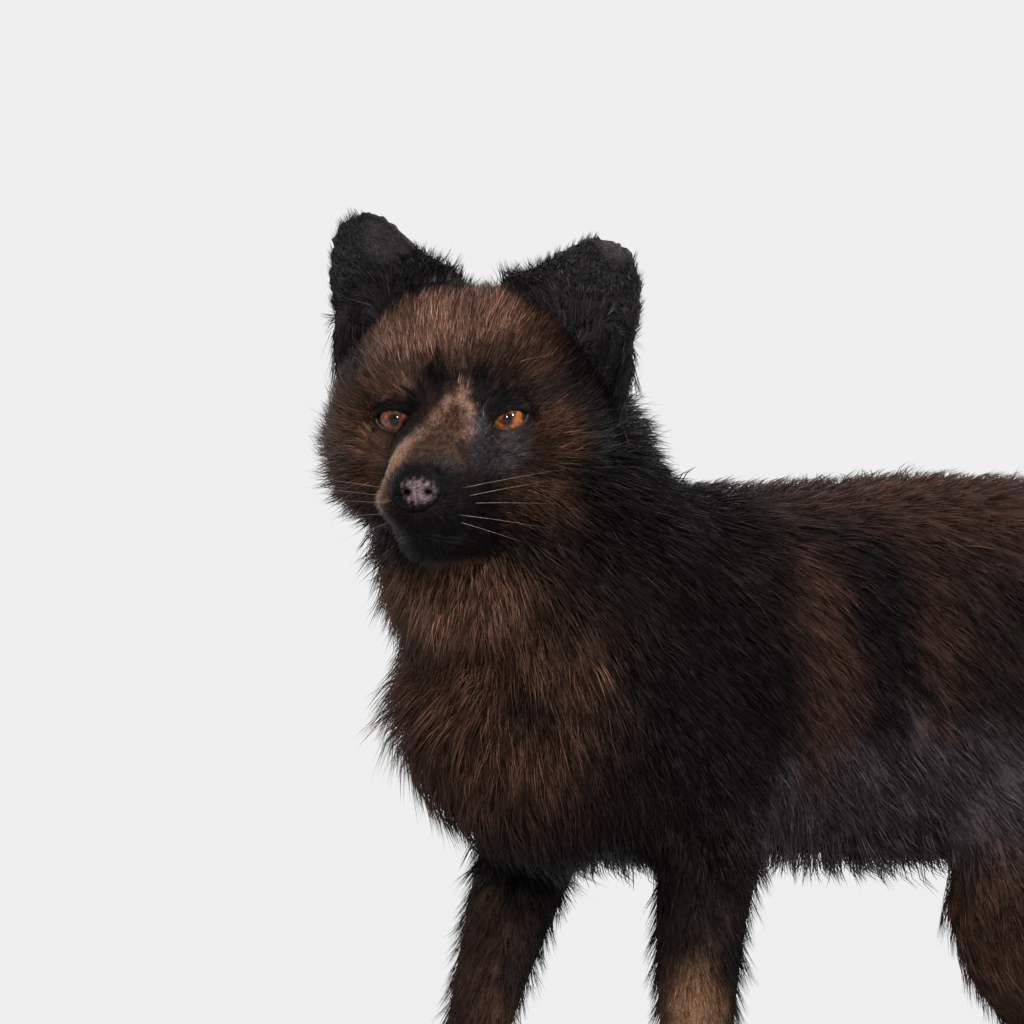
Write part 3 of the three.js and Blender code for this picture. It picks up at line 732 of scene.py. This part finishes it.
HEAD_PATCHES = [
    ((-6, 18, 42), (42, 36, 28), FOREHEAD, 0.75),  # forehead
    ((31, 10, 34), (23, 28, 22), BROWN, 0.42),
    ((4, 36, 54), (34, 18, 15), BROWN, 0.6),  # crown
    ((-52, 2, -14), (28, 44, 36), BROWN, 0.9),  # far cheek
    ((-40, -8, -10), (17, 22, 10), OCHRE, 0.7),
    ((60, 34, 0), (24, 36, 66), BLACK, 0.85),  # near side under the ear
    ((-58, 38, 28), (18, 28, 24), BLACK, 0.9),
    ((-41, 34, 60), (16, 22, 18), BLACK, 0.9),  # feet of the ears
    ((43, 32, 60), (17, 22, 20), BLACK, 0.9),
    ((4, -28, 0), (13, 26, 12), OCHRE, 0.52),  # bridge
    ((1, -52, -12), (15, 18, 10), OCHRE, 0.6),
    ((10, -58, -12), (8, 12, 9), SLATE, 0.7),
    ((22, -20, -10), (15, 26, 16), SLATE, 0.8),  # under the near eye
    ((17, -19, -1), (4.5, 12, 4), LID_GREY, 0.85),  # inner corner of the near eye
    ((42, 0, -10), (11, 18, 11), BROWN, 0.85),  # near cheek
    ((38, 0, -36), (22, 28, 16), BROWN, 0.5),
    ((20, -48, -36), (16, 34, 17), BLACK, 0.95),
    ((26, -22, -50), (22, 28, 15), BLACK, 0.9),
    ((1, -18, 7), (3.0, 8, 6), STREAK, 0.8),  # pale streak down to the far side
    ((-2, -27, 4), (3.6, 10, 6), STREAK, 0.8),
    ((-6, -38, -4), (4.2, 10, 6), STREAK, 0.85),
    ((-12, -48, -11), (7.5, 14, 10), SAND, 0.95),
    ((-16, -58, -20), (11, 24, 16), SAND, 1.0),  # far side of the muzzle
    ((7, -14, 9), (2.6, 8, 6), STREAK, 0.75),  # streak down to the near eye
    ((11.5, -20, 4), (2.8, 9, 7), STREAK, 0.7),
    ((14, -28, -3), (2.8, 8, 5), STREAK, 0.5),
    ((-25, 0, 16), (13, 16, 9), OCHRE, 0.7),  # over the far eye
    ((-6, -7, 22), (5.5, 18, 7), BLACK, 0.95),  # mark on the forehead
    ((-2, -10, 15), (4.2, 15, 7), BLACK, 0.85),
    ((15, -6, 13), (6, 12, 9), BLACK, 0.95),
    ((-12, -6, 9), (6, 12, 7), BLACK, 0.9),
    ((20, -4, 8), (14, 14, 7), BLACK, 0.95),  # round the eyes
    ((-20, -4, 4.5), (14, 14, 5), BLACK, 0.95),
    ((5, -70, -24), (19, 12, 15), BLACK, 1.0),  # round the nose
    ((14, -64, -30), (20, 15, 13), BLACK, 0.9),
    ((5, -62, -42), (24, 26, 12), BLACK, 1.0),
    ((0, -46, -54), (30, 46, 14), BLACK, 1.0),  # lips and chin
]
TAIL_TIP_AT = 146


def markings(points, share):
    """Colour of the coat at each point."""
    body, head = to_body(points), to_head(points)
    wobble = np.stack([waves(body, 34, 5), waves(body, 34, 6), waves(body, 34, 7)], 1)
    colour = np.tile(DARK, (len(points), 1))
    for place, patches in ((body + 6 * wobble, BODY_PATCHES), (head + 2 * wobble, HEAD_PATCHES)):
        for centre, reach, tint, strength in patches:
            away = np.linalg.norm((place - centre) / reach, axis=1)
            colour = towards(colour, tint, strength * ramp(away, 1.15, 0.6)[:, None])
    on = {name: share[:, [NAMES.index(name)]] for name in NAMES}
    colour = towards(colour, BLACK, on["foot"] * 0.8)
    colour = towards(colour, EAR, ramp(on["ear"], 0.3, 0.7))
    tip = on["tail"] * ramp(body[:, [2]] + 9 * wobble[:, :1], TAIL_TIP_AT + 6, TAIL_TIP_AT - 8)
    colour = towards(colour, CREAM, tip)
    return colour * (1 + 0.30 * waves(body, 24, 8) + 0.20 * waves(body, 9, 9))[:, None]


# ---- materials
def material(name, roughness, **sockets):
    """A node material; its shader's own sockets are given by name."""
    made = bpy.data.materials.new(name)
    made.use_nodes = True
    shader = made.node_tree.nodes["Principled BSDF"]
    shader.inputs["Roughness"].default_value = roughness
    for socket, value in sockets.items():
        shader.inputs[socket.replace("_", " ")].default_value = value
    return made, made.node_tree, shader


def node(tree, kind, **values):
    made = tree.nodes.new("ShaderNode" + kind)
    for key, value in values.items():
        if key.replace("_", " ") in made.inputs:
            made.inputs[key.replace("_", " ")].default_value = value
        else:
            setattr(made, key, value)
    return made


def noise_of(tree, scale, detail=3.0):
    place = node(tree, "TexCoord")
    noise = node(tree, "TexNoise", Scale=scale, Detail=detail)
    tree.links.new(place.outputs["Object"], noise.inputs["Vector"])
    return noise.outputs["Fac"]


def painted(tree, shader, layer, grain, low, high):
    """The layer painted on a mesh as base colour, made darker and lighter by a noise."""
    colour = node(tree, "Attribute", attribute_name=layer)
    noise = noise_of(tree, grain)
    spread = node(tree, "MapRange", From_Min=0.3, From_Max=0.7, To_Min=low, To_Max=high)
    tree.links.new(noise, spread.inputs["Value"])
    scaled = node(tree, "VectorMath", operation="SCALE")
    tree.links.new(colour.outputs["Color"], scaled.inputs[0])
    tree.links.new(spread.outputs["Result"], scaled.inputs["Scale"])
    tree.links.new(scaled.outputs["Vector"], shader.inputs["Base Color"])
    return noise


def mixed(tree, share, first, second, end):
    """Two shaders mixed by a share, as what a material or world ends in."""
    both = node(tree, "MixShader")
    for socket, source in zip(both.inputs, (share, first.outputs[0], second.outputs[0])):
        tree.links.new(source, socket)
    tree.links.new(both.outputs[0], end.inputs["Surface"])


def bumped(tree, shader, noise, strength, distance):
    bump = node(tree, "Bump", Strength=strength, Distance=distance)
    tree.links.new(noise, bump.inputs["Height"])
    tree.links.new(bump.outputs["Normal"], shader.inputs["Normal"])


def fur_material(name, roughness, grain, low, high, bump):
    made, tree, shader = material(name, roughness, Specular_IOR_Level=0.07)
    noise = painted(tree, shader, "fur", grain, low, high)
    bumped(tree, shader, noise, bump, 0.001)
    return made


def speckled(name, colour, roughness, grain):
    """One colour made darker and lighter by a fine noise, with a little bump."""
    made, tree, shader = material(name, roughness)
    noise = noise_of(tree, grain)
    colours = node(tree, "ValToRGB")
    for stop, (place, tone) in zip(colours.color_ramp.elements, ((0.3, 0.7), (0.7, 1.3))):
        stop.position = place
        stop.color = (*(tone * channel for channel in colour), 1)
    tree.links.new(noise, colours.inputs["Fac"])
    tree.links.new(colours.outputs["Color"], shader.inputs["Base Color"])
    bumped(tree, shader, noise, 0.2, 0.0005)
    return made


hide_material = fur_material("hide", 0.75, 900, 0.45, 1.0, 0.7)
bare_tree = hide_material.node_tree
wet = node(bare_tree, "MapRange", To_Min=0.8, To_Max=0.42)
bare_tree.links.new(
    node(bare_tree, "Attribute", attribute_name="bare").outputs["Fac"], wet.inputs["Value"]
)
bare_tree.links.new(wet.outputs["Result"], bare_tree.nodes["Principled BSDF"].inputs["Roughness"])
coat_material = fur_material("coat", 0.4, 240, 0.8, 1.25, 0.15)

skin_object = mesh_object("skin", hide, hide_tris, hide_material)
hide_colours = markings(hide, hide_share)
BARE_SKIN, LID_RIM = np.array([0.006, 0.0055, 0.006]), np.array([0.055, 0.05, 0.05])
# Bare skin is dark; above 1 it turns to the paler rim colour: the lids' grey rims, and on the ears
# dried leather with a painted highlight.
hide_colours = towards(hide_colours, BARE_SKIN, np.minimum(hide_bare, 1)[:, None])
hide_colours = towards(hide_colours, LID_RIM, np.maximum(hide_bare - 1, 0)[:, None])
paint(skin_object, "fur", hide_colours)
bare_layer = skin_object.data.attributes.new("bare", "FLOAT", "POINT")
bare_layer.data.foreach_set("value", hide_bare.astype(np.float32))
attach(skin_object, "root")
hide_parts(*FLESH, *EARS)


# ---- the coat
# Triangles of one strand: a foot and a knee of three corners each, then the tip.
BENT = [(0, 2, 1), (0, 1, 4), (0, 4, 3), (1, 2, 5), (1, 5, 4), (2, 0, 3), (2, 3, 5)]
BENT += [(3, 4, 6), (4, 5, 6), (5, 3, 6)]
STRAIGHT = [(0, 2, 1), (0, 1, 3), (1, 2, 3), (2, 0, 3)]
PER_CLUMP, DRAWN_IN = 5, 0.4  # strands of a clump, and how far their tips lean together
HEEL_LIFT, TOE_LIFT, TO_KNEE, TO_TIP = 1.55, 0.5, 0.42, 0.58
PALE_TIP_AND_GLINT = np.array([0.045, 0.035, 0.028])  # added to the ends of pale hairs: pale-tipped guard hairs, and painted glints of the fur's sheen
PALE_BROWN, PALE_GREY = np.array([0.16, 0.12, 0.10]), np.array([0.055, 0.052, 0.060])
SUNK = 0.5 * MM


def grown(faces, count, rng, bent, short=1.0, lower=1.0, wide=1.0, dark=1.0):
    """Strands in clumps that lean together: vertices, colours and roots, one row a strand."""
    tri = hide_tris[faces]
    corners = hide[tri]
    first, second = corners[:, 1] - corners[:, 0], corners[:, 2] - corners[:, 0]
    area = np.linalg.norm(np.cross(first, second), axis=1)
    coat = hide_fields[tri].mean(1)
    density = area / (coat[:, LONG] * coat[:, WIDE])
    clumps = count // PER_CLUMP
    cumulative = np.cumsum(density / density.sum())
    pick = np.searchsorted(cumulative, (np.arange(clumps) + rng.random(clumps)) / clumps)
    pick = np.minimum(pick, len(tri) - 1)
    u, v = rng.random((2, clumps))
    over = u + v > 1
    u, v = np.where(over, 1 - u, u), np.where(over, 1 - v, v)
    weight = np.stack([1 - u - v, u, v], 1)

    def at(values):
        return np.einsum("ij,ijk->ik", weight, values[tri[pick]])

    each = np.repeat(np.arange(clumps), PER_CLUMP)
    n = len(each)
    normal = unit(at(hide_normals))
    lie = flat_to(normal, at(hide_lie))
    coat, tint, root = at(hide_fields), at(hide_colours), at(hide)
    normal, lie = normal[each], lie[each]
    side = np.cross(normal, lie)
    turn = np.radians(rng.normal(0, 8, clumps)[each] + rng.normal(0, 5, n))
    stray = np.exp(rng.normal(0, 0.25, clumps))[each] + rng.normal(0, 0.12, n)
    lift = coat[each, LIFT] * lower * stray
    length = coat[each, LONG] * short * rng.uniform(0.72, 1.1, clumps)[each]
    length = length * rng.uniform(0.8, 1.1, n)
    width = coat[each, WIDE] * wide * rng.uniform(0.7, 1.2, n)
    # Pale hairs are partly the coat's own pale-tipped guard hairs and partly painted glints, more
    # where the coat is grey or brown.
    grey = ramp(tint[:, 2] / tint[:, 0], 0.7, 0.9) * ramp(tint[:, 0], 0.010, 0.018)
    brown = ramp(tint[:, 0], 0.07, 0.13)
    chance = (0.07 + 0.25 * grey + 0.16 * brown)[each]
    pale = (rng.random(n) < chance) * rng.uniform(0.4, 1.0, n)
    width = width * (1 + 0.5 * pale)
    spread = np.minimum(0.18 * coat[each, LONG], 3.4 * MM) * np.sqrt(rng.random(n))
    angle = rng.random(n) * 2 * math.pi
    shift = (side * np.cos(angle)[:, None] + lie * np.sin(angle)[:, None]) * spread[:, None]
    heading = lie * np.cos(turn)[:, None] + side * np.sin(turn)[:, None]
    foot = root[each] + shift - normal * SUNK
    heel, toe = (
        heading * np.cos(a)[:, None] + normal * np.sin(a)[:, None]
        for a in ((HEEL_LIFT * lift, TOE_LIFT * lift) if bent else (lift, lift))
    )
    knee = foot + heel * (TO_KNEE * length)[:, None]
    tip = knee + toe * (TO_TIP * length)[:, None] - shift * DRAWN_IN
    roll = rng.uniform(-0.7, 0.7, n)[:, None]

    def ring(centre, along, size):
        flat = unit(np.cross(along, normal))
        steep = np.cross(flat, along)
        across = flat * np.cos(roll) + steep * np.sin(roll)
        up = steep * np.cos(roll) - flat * np.sin(roll)
        size = size[:, None]
        low = centre - 0.25 * size * up
        return [low + 0.5 * size * across, low - 0.5 * size * across, centre + 0.45 * size * up]

    rings = ring(foot, heel, width)
    if bent:
        rings += ring(knee, unit(heel + toe), 0.85 * width)
    verts = np.stack([*rings, tip], 1)
    fine = np.interp(coat[each, LONG], [6 * MM, 18 * MM], [0.6, 0.28])
    clumped = np.interp(coat[:, LONG], [8 * MM, 24 * MM], [0.17, 0.15])
    tone = np.exp(rng.normal(0, 1, clumps) * clumped)[each]
    tone = tone * np.exp(rng.normal(0, 1, n) * fine) * dark
    tint = tint[each] * tone[:, None]
    tip_and_glint = PALE_TIP_AND_GLINT + np.outer(brown[each], PALE_BROWN) + np.outer(grey[each], PALE_GREY)
    ends = tint * 1.15 + pale[:, None] * (0.9 * tint + tip_and_glint)
    at_root = np.interp(coat[each, LONG], [5 * MM, 20 * MM], [0.8, 0.4])[:, None]
    shades = [tint * at_root] * 3 + [tint] * (3 * bent) + [ends]
    return verts, np.stack(shades, 1), root[each]


def angle_of(a, b):
    return np.arctan2(a, b) / (2 * math.pi) + 0.5


def scaled_to_unit(x):
    return (x - x.min()) / max(np.ptp(x), 1e-9)


def round_body(points):
    """The skin unrolled round the line of the back."""
    p = to_body(points)
    return np.stack([scaled_to_unit(p[:, 1]), angle_of(p[:, 0], 320 - p[:, 2])], 1)


def round_neck(points):
    p = to_body(points) - [12, 45, 380]
    return np.stack([angle_of(p[:, 0], p[:, 1]), scaled_to_unit(p[:, 2])], 1)


def round_head(points):
    p = to_head(points) - [0, 15, -8]
    flat = np.hypot(p[:, 0], p[:, 1])
    return np.stack([angle_of(p[:, 0], p[:, 1]), angle_of(p[:, 2], flat) * 2 - 0.5], 1)


def round_limbs(points):
    """Each leg or ear unrolled round its own height, in a strip for each side."""
    p = to_body(points)
    left = p[:, 0] > 0
    made = np.zeros((len(p), 2))
    for strip, mask in enumerate((left, ~left)):
        if not mask.any():
            continue
        q = p[mask]
        steps = np.round(q[:, 2] / 12).astype(int)
        steps -= steps.min()
        count = np.maximum(np.bincount(steps), 1)
        centre = [np.bincount(steps, q[:, k]) / count for k in (0, 1)]
        turned = angle_of(q[:, 0] - centre[0][steps], q[:, 1] - centre[1][steps])
        made[mask] = np.stack([(strip + turned) / 2, scaled_to_unit(q[:, 2])], 1)
    return made


def round_tail(points):
    p = to_body(points)
    return np.stack([angle_of(p[:, 0] - 4, 60 - (p[:, 1] - 460)), scaled_to_unit(p[:, 2])], 1)


PATCH = 0.003  # a tuft's part of its piece's map
UNDERCOAT = dict(short=0.72, lower=0.75, wide=1.25, dark=0.75)


def coat_piece(name, faces, seed, bent, straight, chart):
    """One piece of coat: curved strands over shorter, darker straight ones."""
    rng = np.random.default_rng(seed)
    layers = [(grown(faces, bent, rng, True), BENT)] if bent else []
    layers.append((grown(faces, straight, rng, False, **(UNDERCOAT if bent else {})), STRAIGHT))
    shells, colours, charts = [], [], []
    for (points, shades, roots), pattern in layers:
        off_ground = points[:, :, 2].min(1) > 0
        points, shades, roots = points[off_ground], shades[off_ground], roots[off_ground]
        n, k = points.shape[:2]
        tris = np.array(pattern)[None] + (k * np.arange(n))[:, None, None]
        shells.append((points.reshape(-1, 3), tris.reshape(-1, 3)))
        colours.append(shades.reshape(-1, 3))
        corner = np.array([[i % 3, i // 3] for i in range(k)]) * (PATCH / 2)
        charts.append((chart(roots)[:, None] * (1 - PATCH) + corner[None]).reshape(-1, 2))
    verts, tris = joined(shells)
    piece = mesh_object(name, verts, tris, coat_material)
    paint(piece, "fur", np.concatenate(colours))
    unwrap = piece.data.uv_layers.new(name="OFBake")
    unwrap.data.foreach_set("uv", np.concatenate(charts)[tris.ravel()].astype(np.float32).ravel())
    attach(piece, "root")


face_middle = hide[hide_tris].mean(1)
face_region = hide_share[hide_tris].mean(1).argmax(1)
face_bare = hide_bare[hide_tris].mean(1)
across, along = to_body(face_middle)[:, :2].T
from_face = np.linalg.norm(to_head(face_middle) - FACE_MIDDLE, axis=1)


def region(*names, most_bare=0.3):
    """Which triangles lie in the named regions and grow hair."""
    return np.isin(face_region, [NAMES.index(n) for n in names]) & (face_bare < most_bare)


head, neck, tail = region("head"), region("neck"), region("tail")
torso, legs, ears = region("trunk", "upper"), region("leg", "foot"), region("ear", most_bare=1.12)
MUZZLE_END, FACE_END, NECK_MIDDLE = 58, 88, 14
CHEST_END, FORELEG_END, FLANK_END = 130, 185, 275
on_muzzle, on_face = from_face < MUZZLE_END, from_face < FACE_END
on_chest, on_flank = along < CHEST_END, along < FLANK_END
left, fore = across > NECK_MIDDLE, along < FORELEG_END
# Name, triangles, number of curved and of straight strands, chart, slot.
COATS = [
    ("coat_muzzle", head & on_muzzle, 0, 43000, round_head, "fur_dark"),
    ("coat_face", head & on_face & ~on_muzzle, 11000, 21000, round_head, "fur_brown"),
    ("coat_cheeks", head & ~on_face, 11000, 10000, round_head, "fur_brown"),
    ("coat_neck_left", neck & left, 12000, 5000, round_neck, "fur_dark"),
    ("coat_neck_right", neck & ~left, 12000, 5000, round_neck, "fur_dark"),
    ("coat_chest", torso & on_chest, 10000, 8000, round_body, "fur_brown"),
    ("coat_flanks", torso & on_flank & ~on_chest, 9000, 8000, round_body, "fur_dark"),
    ("coat_rump", torso & ~on_flank, 8000, 8000, round_body, "fur_dark"),
    ("coat_forelegs", legs & fore, 0, 27000, round_limbs, "fur_brown"),
    ("coat_hindlegs", legs & ~fore, 0, 25000, round_limbs, "fur_brown"),
    ("coat_tail", tail, 6600, 4600, round_tail, "fur_dark"),
    ("coat_ears", ears, 0, 11000, round_limbs, "fur_black"),
]
for seed, (name, mask, bent, straight, chart, slot) in enumerate(COATS):
    coat_piece(name, np.flatnonzero(mask), 100 + seed, bent, straight, chart)


# ---- eyes
GAZE, GAZE_UP = {1: 12, -1: 0.5}, 2  # degrees towards the left and up
PUPIL_HALF, IRIS = (2.1, 2.6), 6.6
EYE_COLUMNS, EYE_ROWS, EYE_CROWDING = 72, 48, 1.25
CORNEA = 0.03  # how far it bulges, as a share of the eyeball's radius
PUPIL, EYE_RIM = (0.004, 0.0035, 0.0035), 0.012
# Colours round the pupil and out in the iris.
EYE_TINTS = {
    1: ((0.07, 0.018, 0.006), (0.22, 0.060, 0.017)),
    -1: ((0.07, 0.022, 0.012), (0.14, 0.044, 0.025)),
}


def eye_piece(node, side):
    """A glass eye turned to its gaze: pupil, streaked iris and a dark rim."""
    ball, tris = globe(EYE_ROWS, EYE_COLUMNS, EYE_CROWDING)
    ball[:, 1] *= 1 + CORNEA * ramp(ball[:, 1], -0.73, -0.98)
    turned = turn_of(GAZE[side], -GAZE_UP)
    verts = from_head(eye_axes(side)[0] + ball * EYE_RADIUS @ turned.T)
    piece = mesh_object(node + "_glass", verts, tris, eye_material)
    away = np.hypot(ball[:, 0], ball[:, 2]) * EYE_RADIUS
    away[ball[:, 1] > 0] = EYE_RADIUS
    slit = np.hypot(ball[:, 0] / PUPIL_HALF[0], ball[:, 2] / PUPIL_HALF[1]) * EYE_RADIUS
    slit[ball[:, 1] > 0] = EYE_RADIUS
    around = np.arctan2(ball[:, 2], ball[:, 0])
    streak = sum(np.sin(around * k + k * 1.7 + side) for k in (9, 17, 31)) / 3
    inner, outer = np.array(EYE_TINTS[side])
    blend = (ramp(away, 1, IRIS - 1) * ramp(away, IRIS + 1.5, IRIS - 1.5))[:, None]
    mottle = 1 + 0.25 * streak + 0.55 * waves(ball * EYE_RADIUS, 2.2, 60 + side)
    iris = towards(inner, outer, blend) * mottle[:, None]
    colour = towards(iris, PUPIL, ramp(slit, 1.35, 0.8)[:, None])
    colour = towards(colour, EYE_RIM, ramp(away, IRIS - 0.4, IRIS + 0.3)[:, None])
    paint(piece, "tint", colour)
    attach(piece, "root")
    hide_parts(node)


eye_material, eye_tree, eye_shader = material(
    "eye_glass", 0.3, Coat_Weight=1.0, Coat_Roughness=0.015, Coat_IOR=1.38, Specular_IOR_Level=0.0
)
painted(eye_tree, eye_shader, "tint", 700, 0.8, 1.2)
for node_name, side in (("eye_left", 1), ("eye_right", -1)):
    eye_piece(node_name, side)

# ---- nose
NOSE_AT, NOSE_HALF = np.array([0, -71.5, -24]), np.array([10.8, 8.0, 9.5])
NOSE_ROWS, NOSE_COLUMNS = 72, 96
NOSTRILS_ASIDE = 1.7
# Nostril, its slit and the rim over it: depth, then place and reach outwards and up.
NOSE_DENTS = [(4.2, 4.2, 1.7, -1.2, 1.5), (2.6, 7.0, 1.9, -2.9, 1.0), (-0.6, 4.7, 3.2, 1.8, 1.6)]


def swell(u, z, side, aside, wide, above, tall):
    return np.exp(-(((u - side * aside) / wide) ** 2) - ((z - above) / tall) ** 2)


nose_material, nose_tree, nose_shader = material("nose_leather", 0.45, Specular_IOR_Level=0.03)
painted(nose_tree, nose_shader, "tint", 1500, 0.7, 1.25)
cells = node(nose_tree, "TexVoronoi", Scale=1100.0)
nose_tree.links.new(node(nose_tree, "TexCoord").outputs["Object"], cells.inputs["Vector"])
bumped(nose_tree, nose_shader, cells.outputs["Distance"], 0.7, 0.0006)
way, tris = globe(NOSE_ROWS, NOSE_COLUMNS)
shape = np.sign(way) * np.abs(way) ** 0.86 * NOSE_HALF
x, y, z = shape.T
front = ramp(y, 1, -4)
x = x * (1 - 0.16 * ramp(z, -2, -9))  # narrower towards the lip
dent = np.zeros(len(x))
u = x - NOSTRILS_ASIDE
for side in (1, -1):
    for deep, *mound in NOSE_DENTS:
        dent += deep * swell(u, z, side, *mound)
dent += 0.9 * np.exp(-((u / 0.6) ** 2)) * ramp(z, 2, -1)
y = y + front * dent
verts = np.stack([x, y, z], 1)
piece = mesh_object("nose_pad", from_head(NOSE_AT + verts), tris, nose_material)
worn = np.hypot((verts[:, 0] - 2.4) / 6.4, (verts[:, 2] + 0.8) / 5.2)
worn = ramp(worn + 0.25 * waves(verts, 2.6, 41), 1.3, 0.5) * ramp(verts[:, 1], 0, -4)
# The nostrils' dents are painted nearly black, as painted shade for their deep openings.
nostril_shade = sum(swell(u, z, side, 4.2, 1.5, -1.2, 1.3) for side in (1, -1))
leather, pink = np.array([0.0035, 0.003, 0.0035]), np.array([0.14, 0.098, 0.105])
blotch = 0.85 + 0.45 * waves(verts, 1.5, 42)
colour = towards(leather, pink * blotch[:, None], (worn * 0.85)[:, None])
colour = colour * (1 - 0.97 * np.minimum(1, 1.4 * nostril_shade))[:, None]
paint(piece, "tint", np.maximum(colour, 0.002))
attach(piece, "root")
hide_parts("nose")

# ---- whiskers
WHISKERS, WHISKER_SIDES, ROOT_SUNK = 5, 5, 0.6
STRAYS = [  # root across and up the forehead, heading and length of single pale hairs
    ((-26, 28), (-0.5, -0.5, 0.6), 17),
    ((-20, 36), (-0.6, -0.6, 0.45), 14),
    ((8, 42), (0.5, -0.5, 0.6), 12),
    ((18, 36), (0.7, -0.3, 0.5), 14),
    ((28, 24), (0.9, -0.3, 0.3), 15),
]


def bowed(root, heading, bow, length):
    t = np.linspace(0, 1, 12)[:, None]
    return root + unit(heading) * length * t + bow * length * 0.5 * t * t


whisker_material = speckled("whisker", (0.16, 0.14, 0.13), 0.4, 400)
hide_tree = tree_of(hide, hide_tris)


def landed(start, way):
    """Where a ray meets the skin, sunk a little below it."""
    return start + way * (reached(hide_tree, start, way) + ROOT_SUNK)


rng = np.random.default_rng(51)
paths = []
for side in (1, -1):
    for k in range(WHISKERS):
        place = k % 3
        start = np.array([side * 40.0, -58 + 7 * place + rng.normal(0, 1.5), -25 - 3.6 * k])
        root = landed(start, np.array([-side, 0.0, 0.0]))
        back, up = rng.uniform(-0.05, 0.55), 0.2 - 0.11 * k + rng.normal(0, 0.06)
        heading = np.array([side, back, up])
        bow = np.array([side * -0.1, 0.5, -0.12]) * rng.uniform(0.5, 1.1)
        paths.append((bowed(root, heading, bow, rng.uniform(28, 50)), 0.09))
for (across, up), heading, length in STRAYS:
    root = landed(np.array([across, -90.0, up]), np.array([0.0, 1.0, 0.0]))
    paths.append((bowed(root, np.array(heading), np.array([0, 0.3, -0.2]), length), 0.11))
hairs = []
for path, thick in paths:
    taper = 1.02 - np.linspace(0, 1, len(path))
    hairs.append(tube(from_head(path), thick * MM * taper, WHISKER_SIDES))
piece = mesh_object("whiskers", *joined(hairs), whisker_material)
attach(piece, "root")

# ---- claws
CLAW_VOXEL = 0.34 * MM
horn = speckled("horn", (0.022, 0.018, 0.016), 0.32, 500)
paws = {}
for name in sorted(NODES):
    if name.startswith("claw"):
        paws.setdefault(name.rsplit("_", 1)[0], []).append(name)
for paw, names in paws.items():
    verts, tris = remeshed([shell_of(name, 0) for name in names], CLAW_VOXEL)
    verts = averaged(verts, edges_of(tris), rounds=10)
    piece = mesh_object(paw.replace("claw", "claws"), verts, tris, horn)
    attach(piece, "root")
    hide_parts(*names)

# ---- stage, lights and camera
CAMERA_SIDE = math.radians(56)  # from straight ahead of the body towards its left
to_camera = np.array([math.sin(CAMERA_SIDE), -math.cos(CAMERA_SIDE), 0])
to_right = np.array([math.cos(CAMERA_SIDE), math.sin(CAMERA_SIDE), 0])
CAMERA_AWAY, CAMERA_RIGHT, CAMERA_UP, CAMERA_DOWN = 2.1, 0.02646, 0.4, 0.5
PIXELS_AT_ONE_METRE, PICTURE_WIDE, SENSOR = 4920, 1024, 36  # sensor in millimetres
camera_data = bpy.data.cameras.new("camera")
camera_data.sensor_width = SENSOR
camera_data.lens = PIXELS_AT_ONE_METRE / PICTURE_WIDE * SENSOR
camera_data.clip_end = 100
camera = placed("camera", camera_data)
camera.location = Vector(HEAD_AT + to_camera * CAMERA_AWAY + to_right * CAMERA_RIGHT)
camera.location.z = CAMERA_UP
forward = Vector(-to_camera)
forward.z = -math.tan(math.radians(CAMERA_DOWN))
camera.rotation_euler = forward.to_track_quat("-Z", "Y").to_euler()
scene.camera = camera


def area_light(name, at, target, size, power, colour=(1, 1, 1)):
    data = bpy.data.lights.new(name, "AREA")
    data.shape = "DISK"
    data.size = size
    data.energy = power
    data.color = colour
    light = placed(name, data)
    light.location = at
    light.rotation_euler = (target - light.location).to_track_quat("-Z", "Y").to_euler()


aim = Vector(BODY_AT) + Vector((0.02, 0.1, 0.33))


def beside(ahead, right, up):
    """A point seen from the aim: towards the camera, to its right, and up."""
    return aim + Vector(to_camera) * ahead + Vector(to_right) * right + Vector((0, 0, up))


area_light("key", beside(2.35, 1.85, 1.42), aim, 0.44, 140, (1, 0.985, 0.96))
area_light("second", beside(3.1, -0.1, 0.85), aim, 0.3, 80)
area_light("rear", beside(-1.5, 1.2, 1.5), aim, 1.0, 20)
area_light("far_side", beside(-1.2, -1.6, 0.9), aim, 1.4, 22)

FLOOR_REACH, FLOOR_STEPS = 60, 128
FLOOR_PLAIN = (0.75, 1.25)  # the lit floor fades out into the plain background between these
BACKGROUND = 0.86
turn = np.arange(FLOOR_STEPS) / FLOOR_STEPS * 2 * math.pi
disc = np.stack([np.cos(turn) * FLOOR_REACH, np.sin(turn) * FLOOR_REACH, 0 * turn], 1)
fan = [(0, 1 + k, 1 + (k + 1) % FLOOR_STEPS) for k in range(FLOOR_STEPS)]
floor = mesh_object("floor", np.concatenate([[[0, 0, 0]], disc]), fan)
floor_material, floor_tree, floor_shader = material(
    "floor", 0.9, Base_Color=(0.5, 0.5, 0.505, 1), Specular_IOR_Level=0.1
)
glow = node(floor_tree, "Emission", Strength=BACKGROUND)
from_middle = node(floor_tree, "VectorMath", operation="LENGTH")
floor_tree.links.new(node(floor_tree, "TexCoord").outputs["Object"], from_middle.inputs[0])
fade = node(floor_tree, "MapRange", interpolation_type="SMOOTHSTEP")
fade.inputs["From Min"].default_value, fade.inputs["From Max"].default_value = FLOOR_PLAIN
floor_tree.links.new(from_middle.outputs["Value"], fade.inputs["Value"])
floor_end = floor_tree.nodes["Material Output"]
mixed(floor_tree, fade.outputs["Result"], floor_shader, glow, floor_end)
floor.data.materials.append(floor_material)
world = bpy.data.worlds.new("studio")
scene.world = world
world.use_nodes = True
sky = world.node_tree
seen = sky.nodes["Background"]
seen.inputs["Color"].default_value = (1, 1, 1, 1)
seen.inputs["Strength"].default_value = BACKGROUND
lighting = node(sky, "Background", Color=(0.97, 0.98, 1, 1), Strength=0.32)
by_camera = node(sky, "LightPath").outputs["Is Camera Ray"]
mixed(sky, by_camera, lighting, seen, sky.nodes["World Output"])
scene.view_settings.view_transform = "Standard"
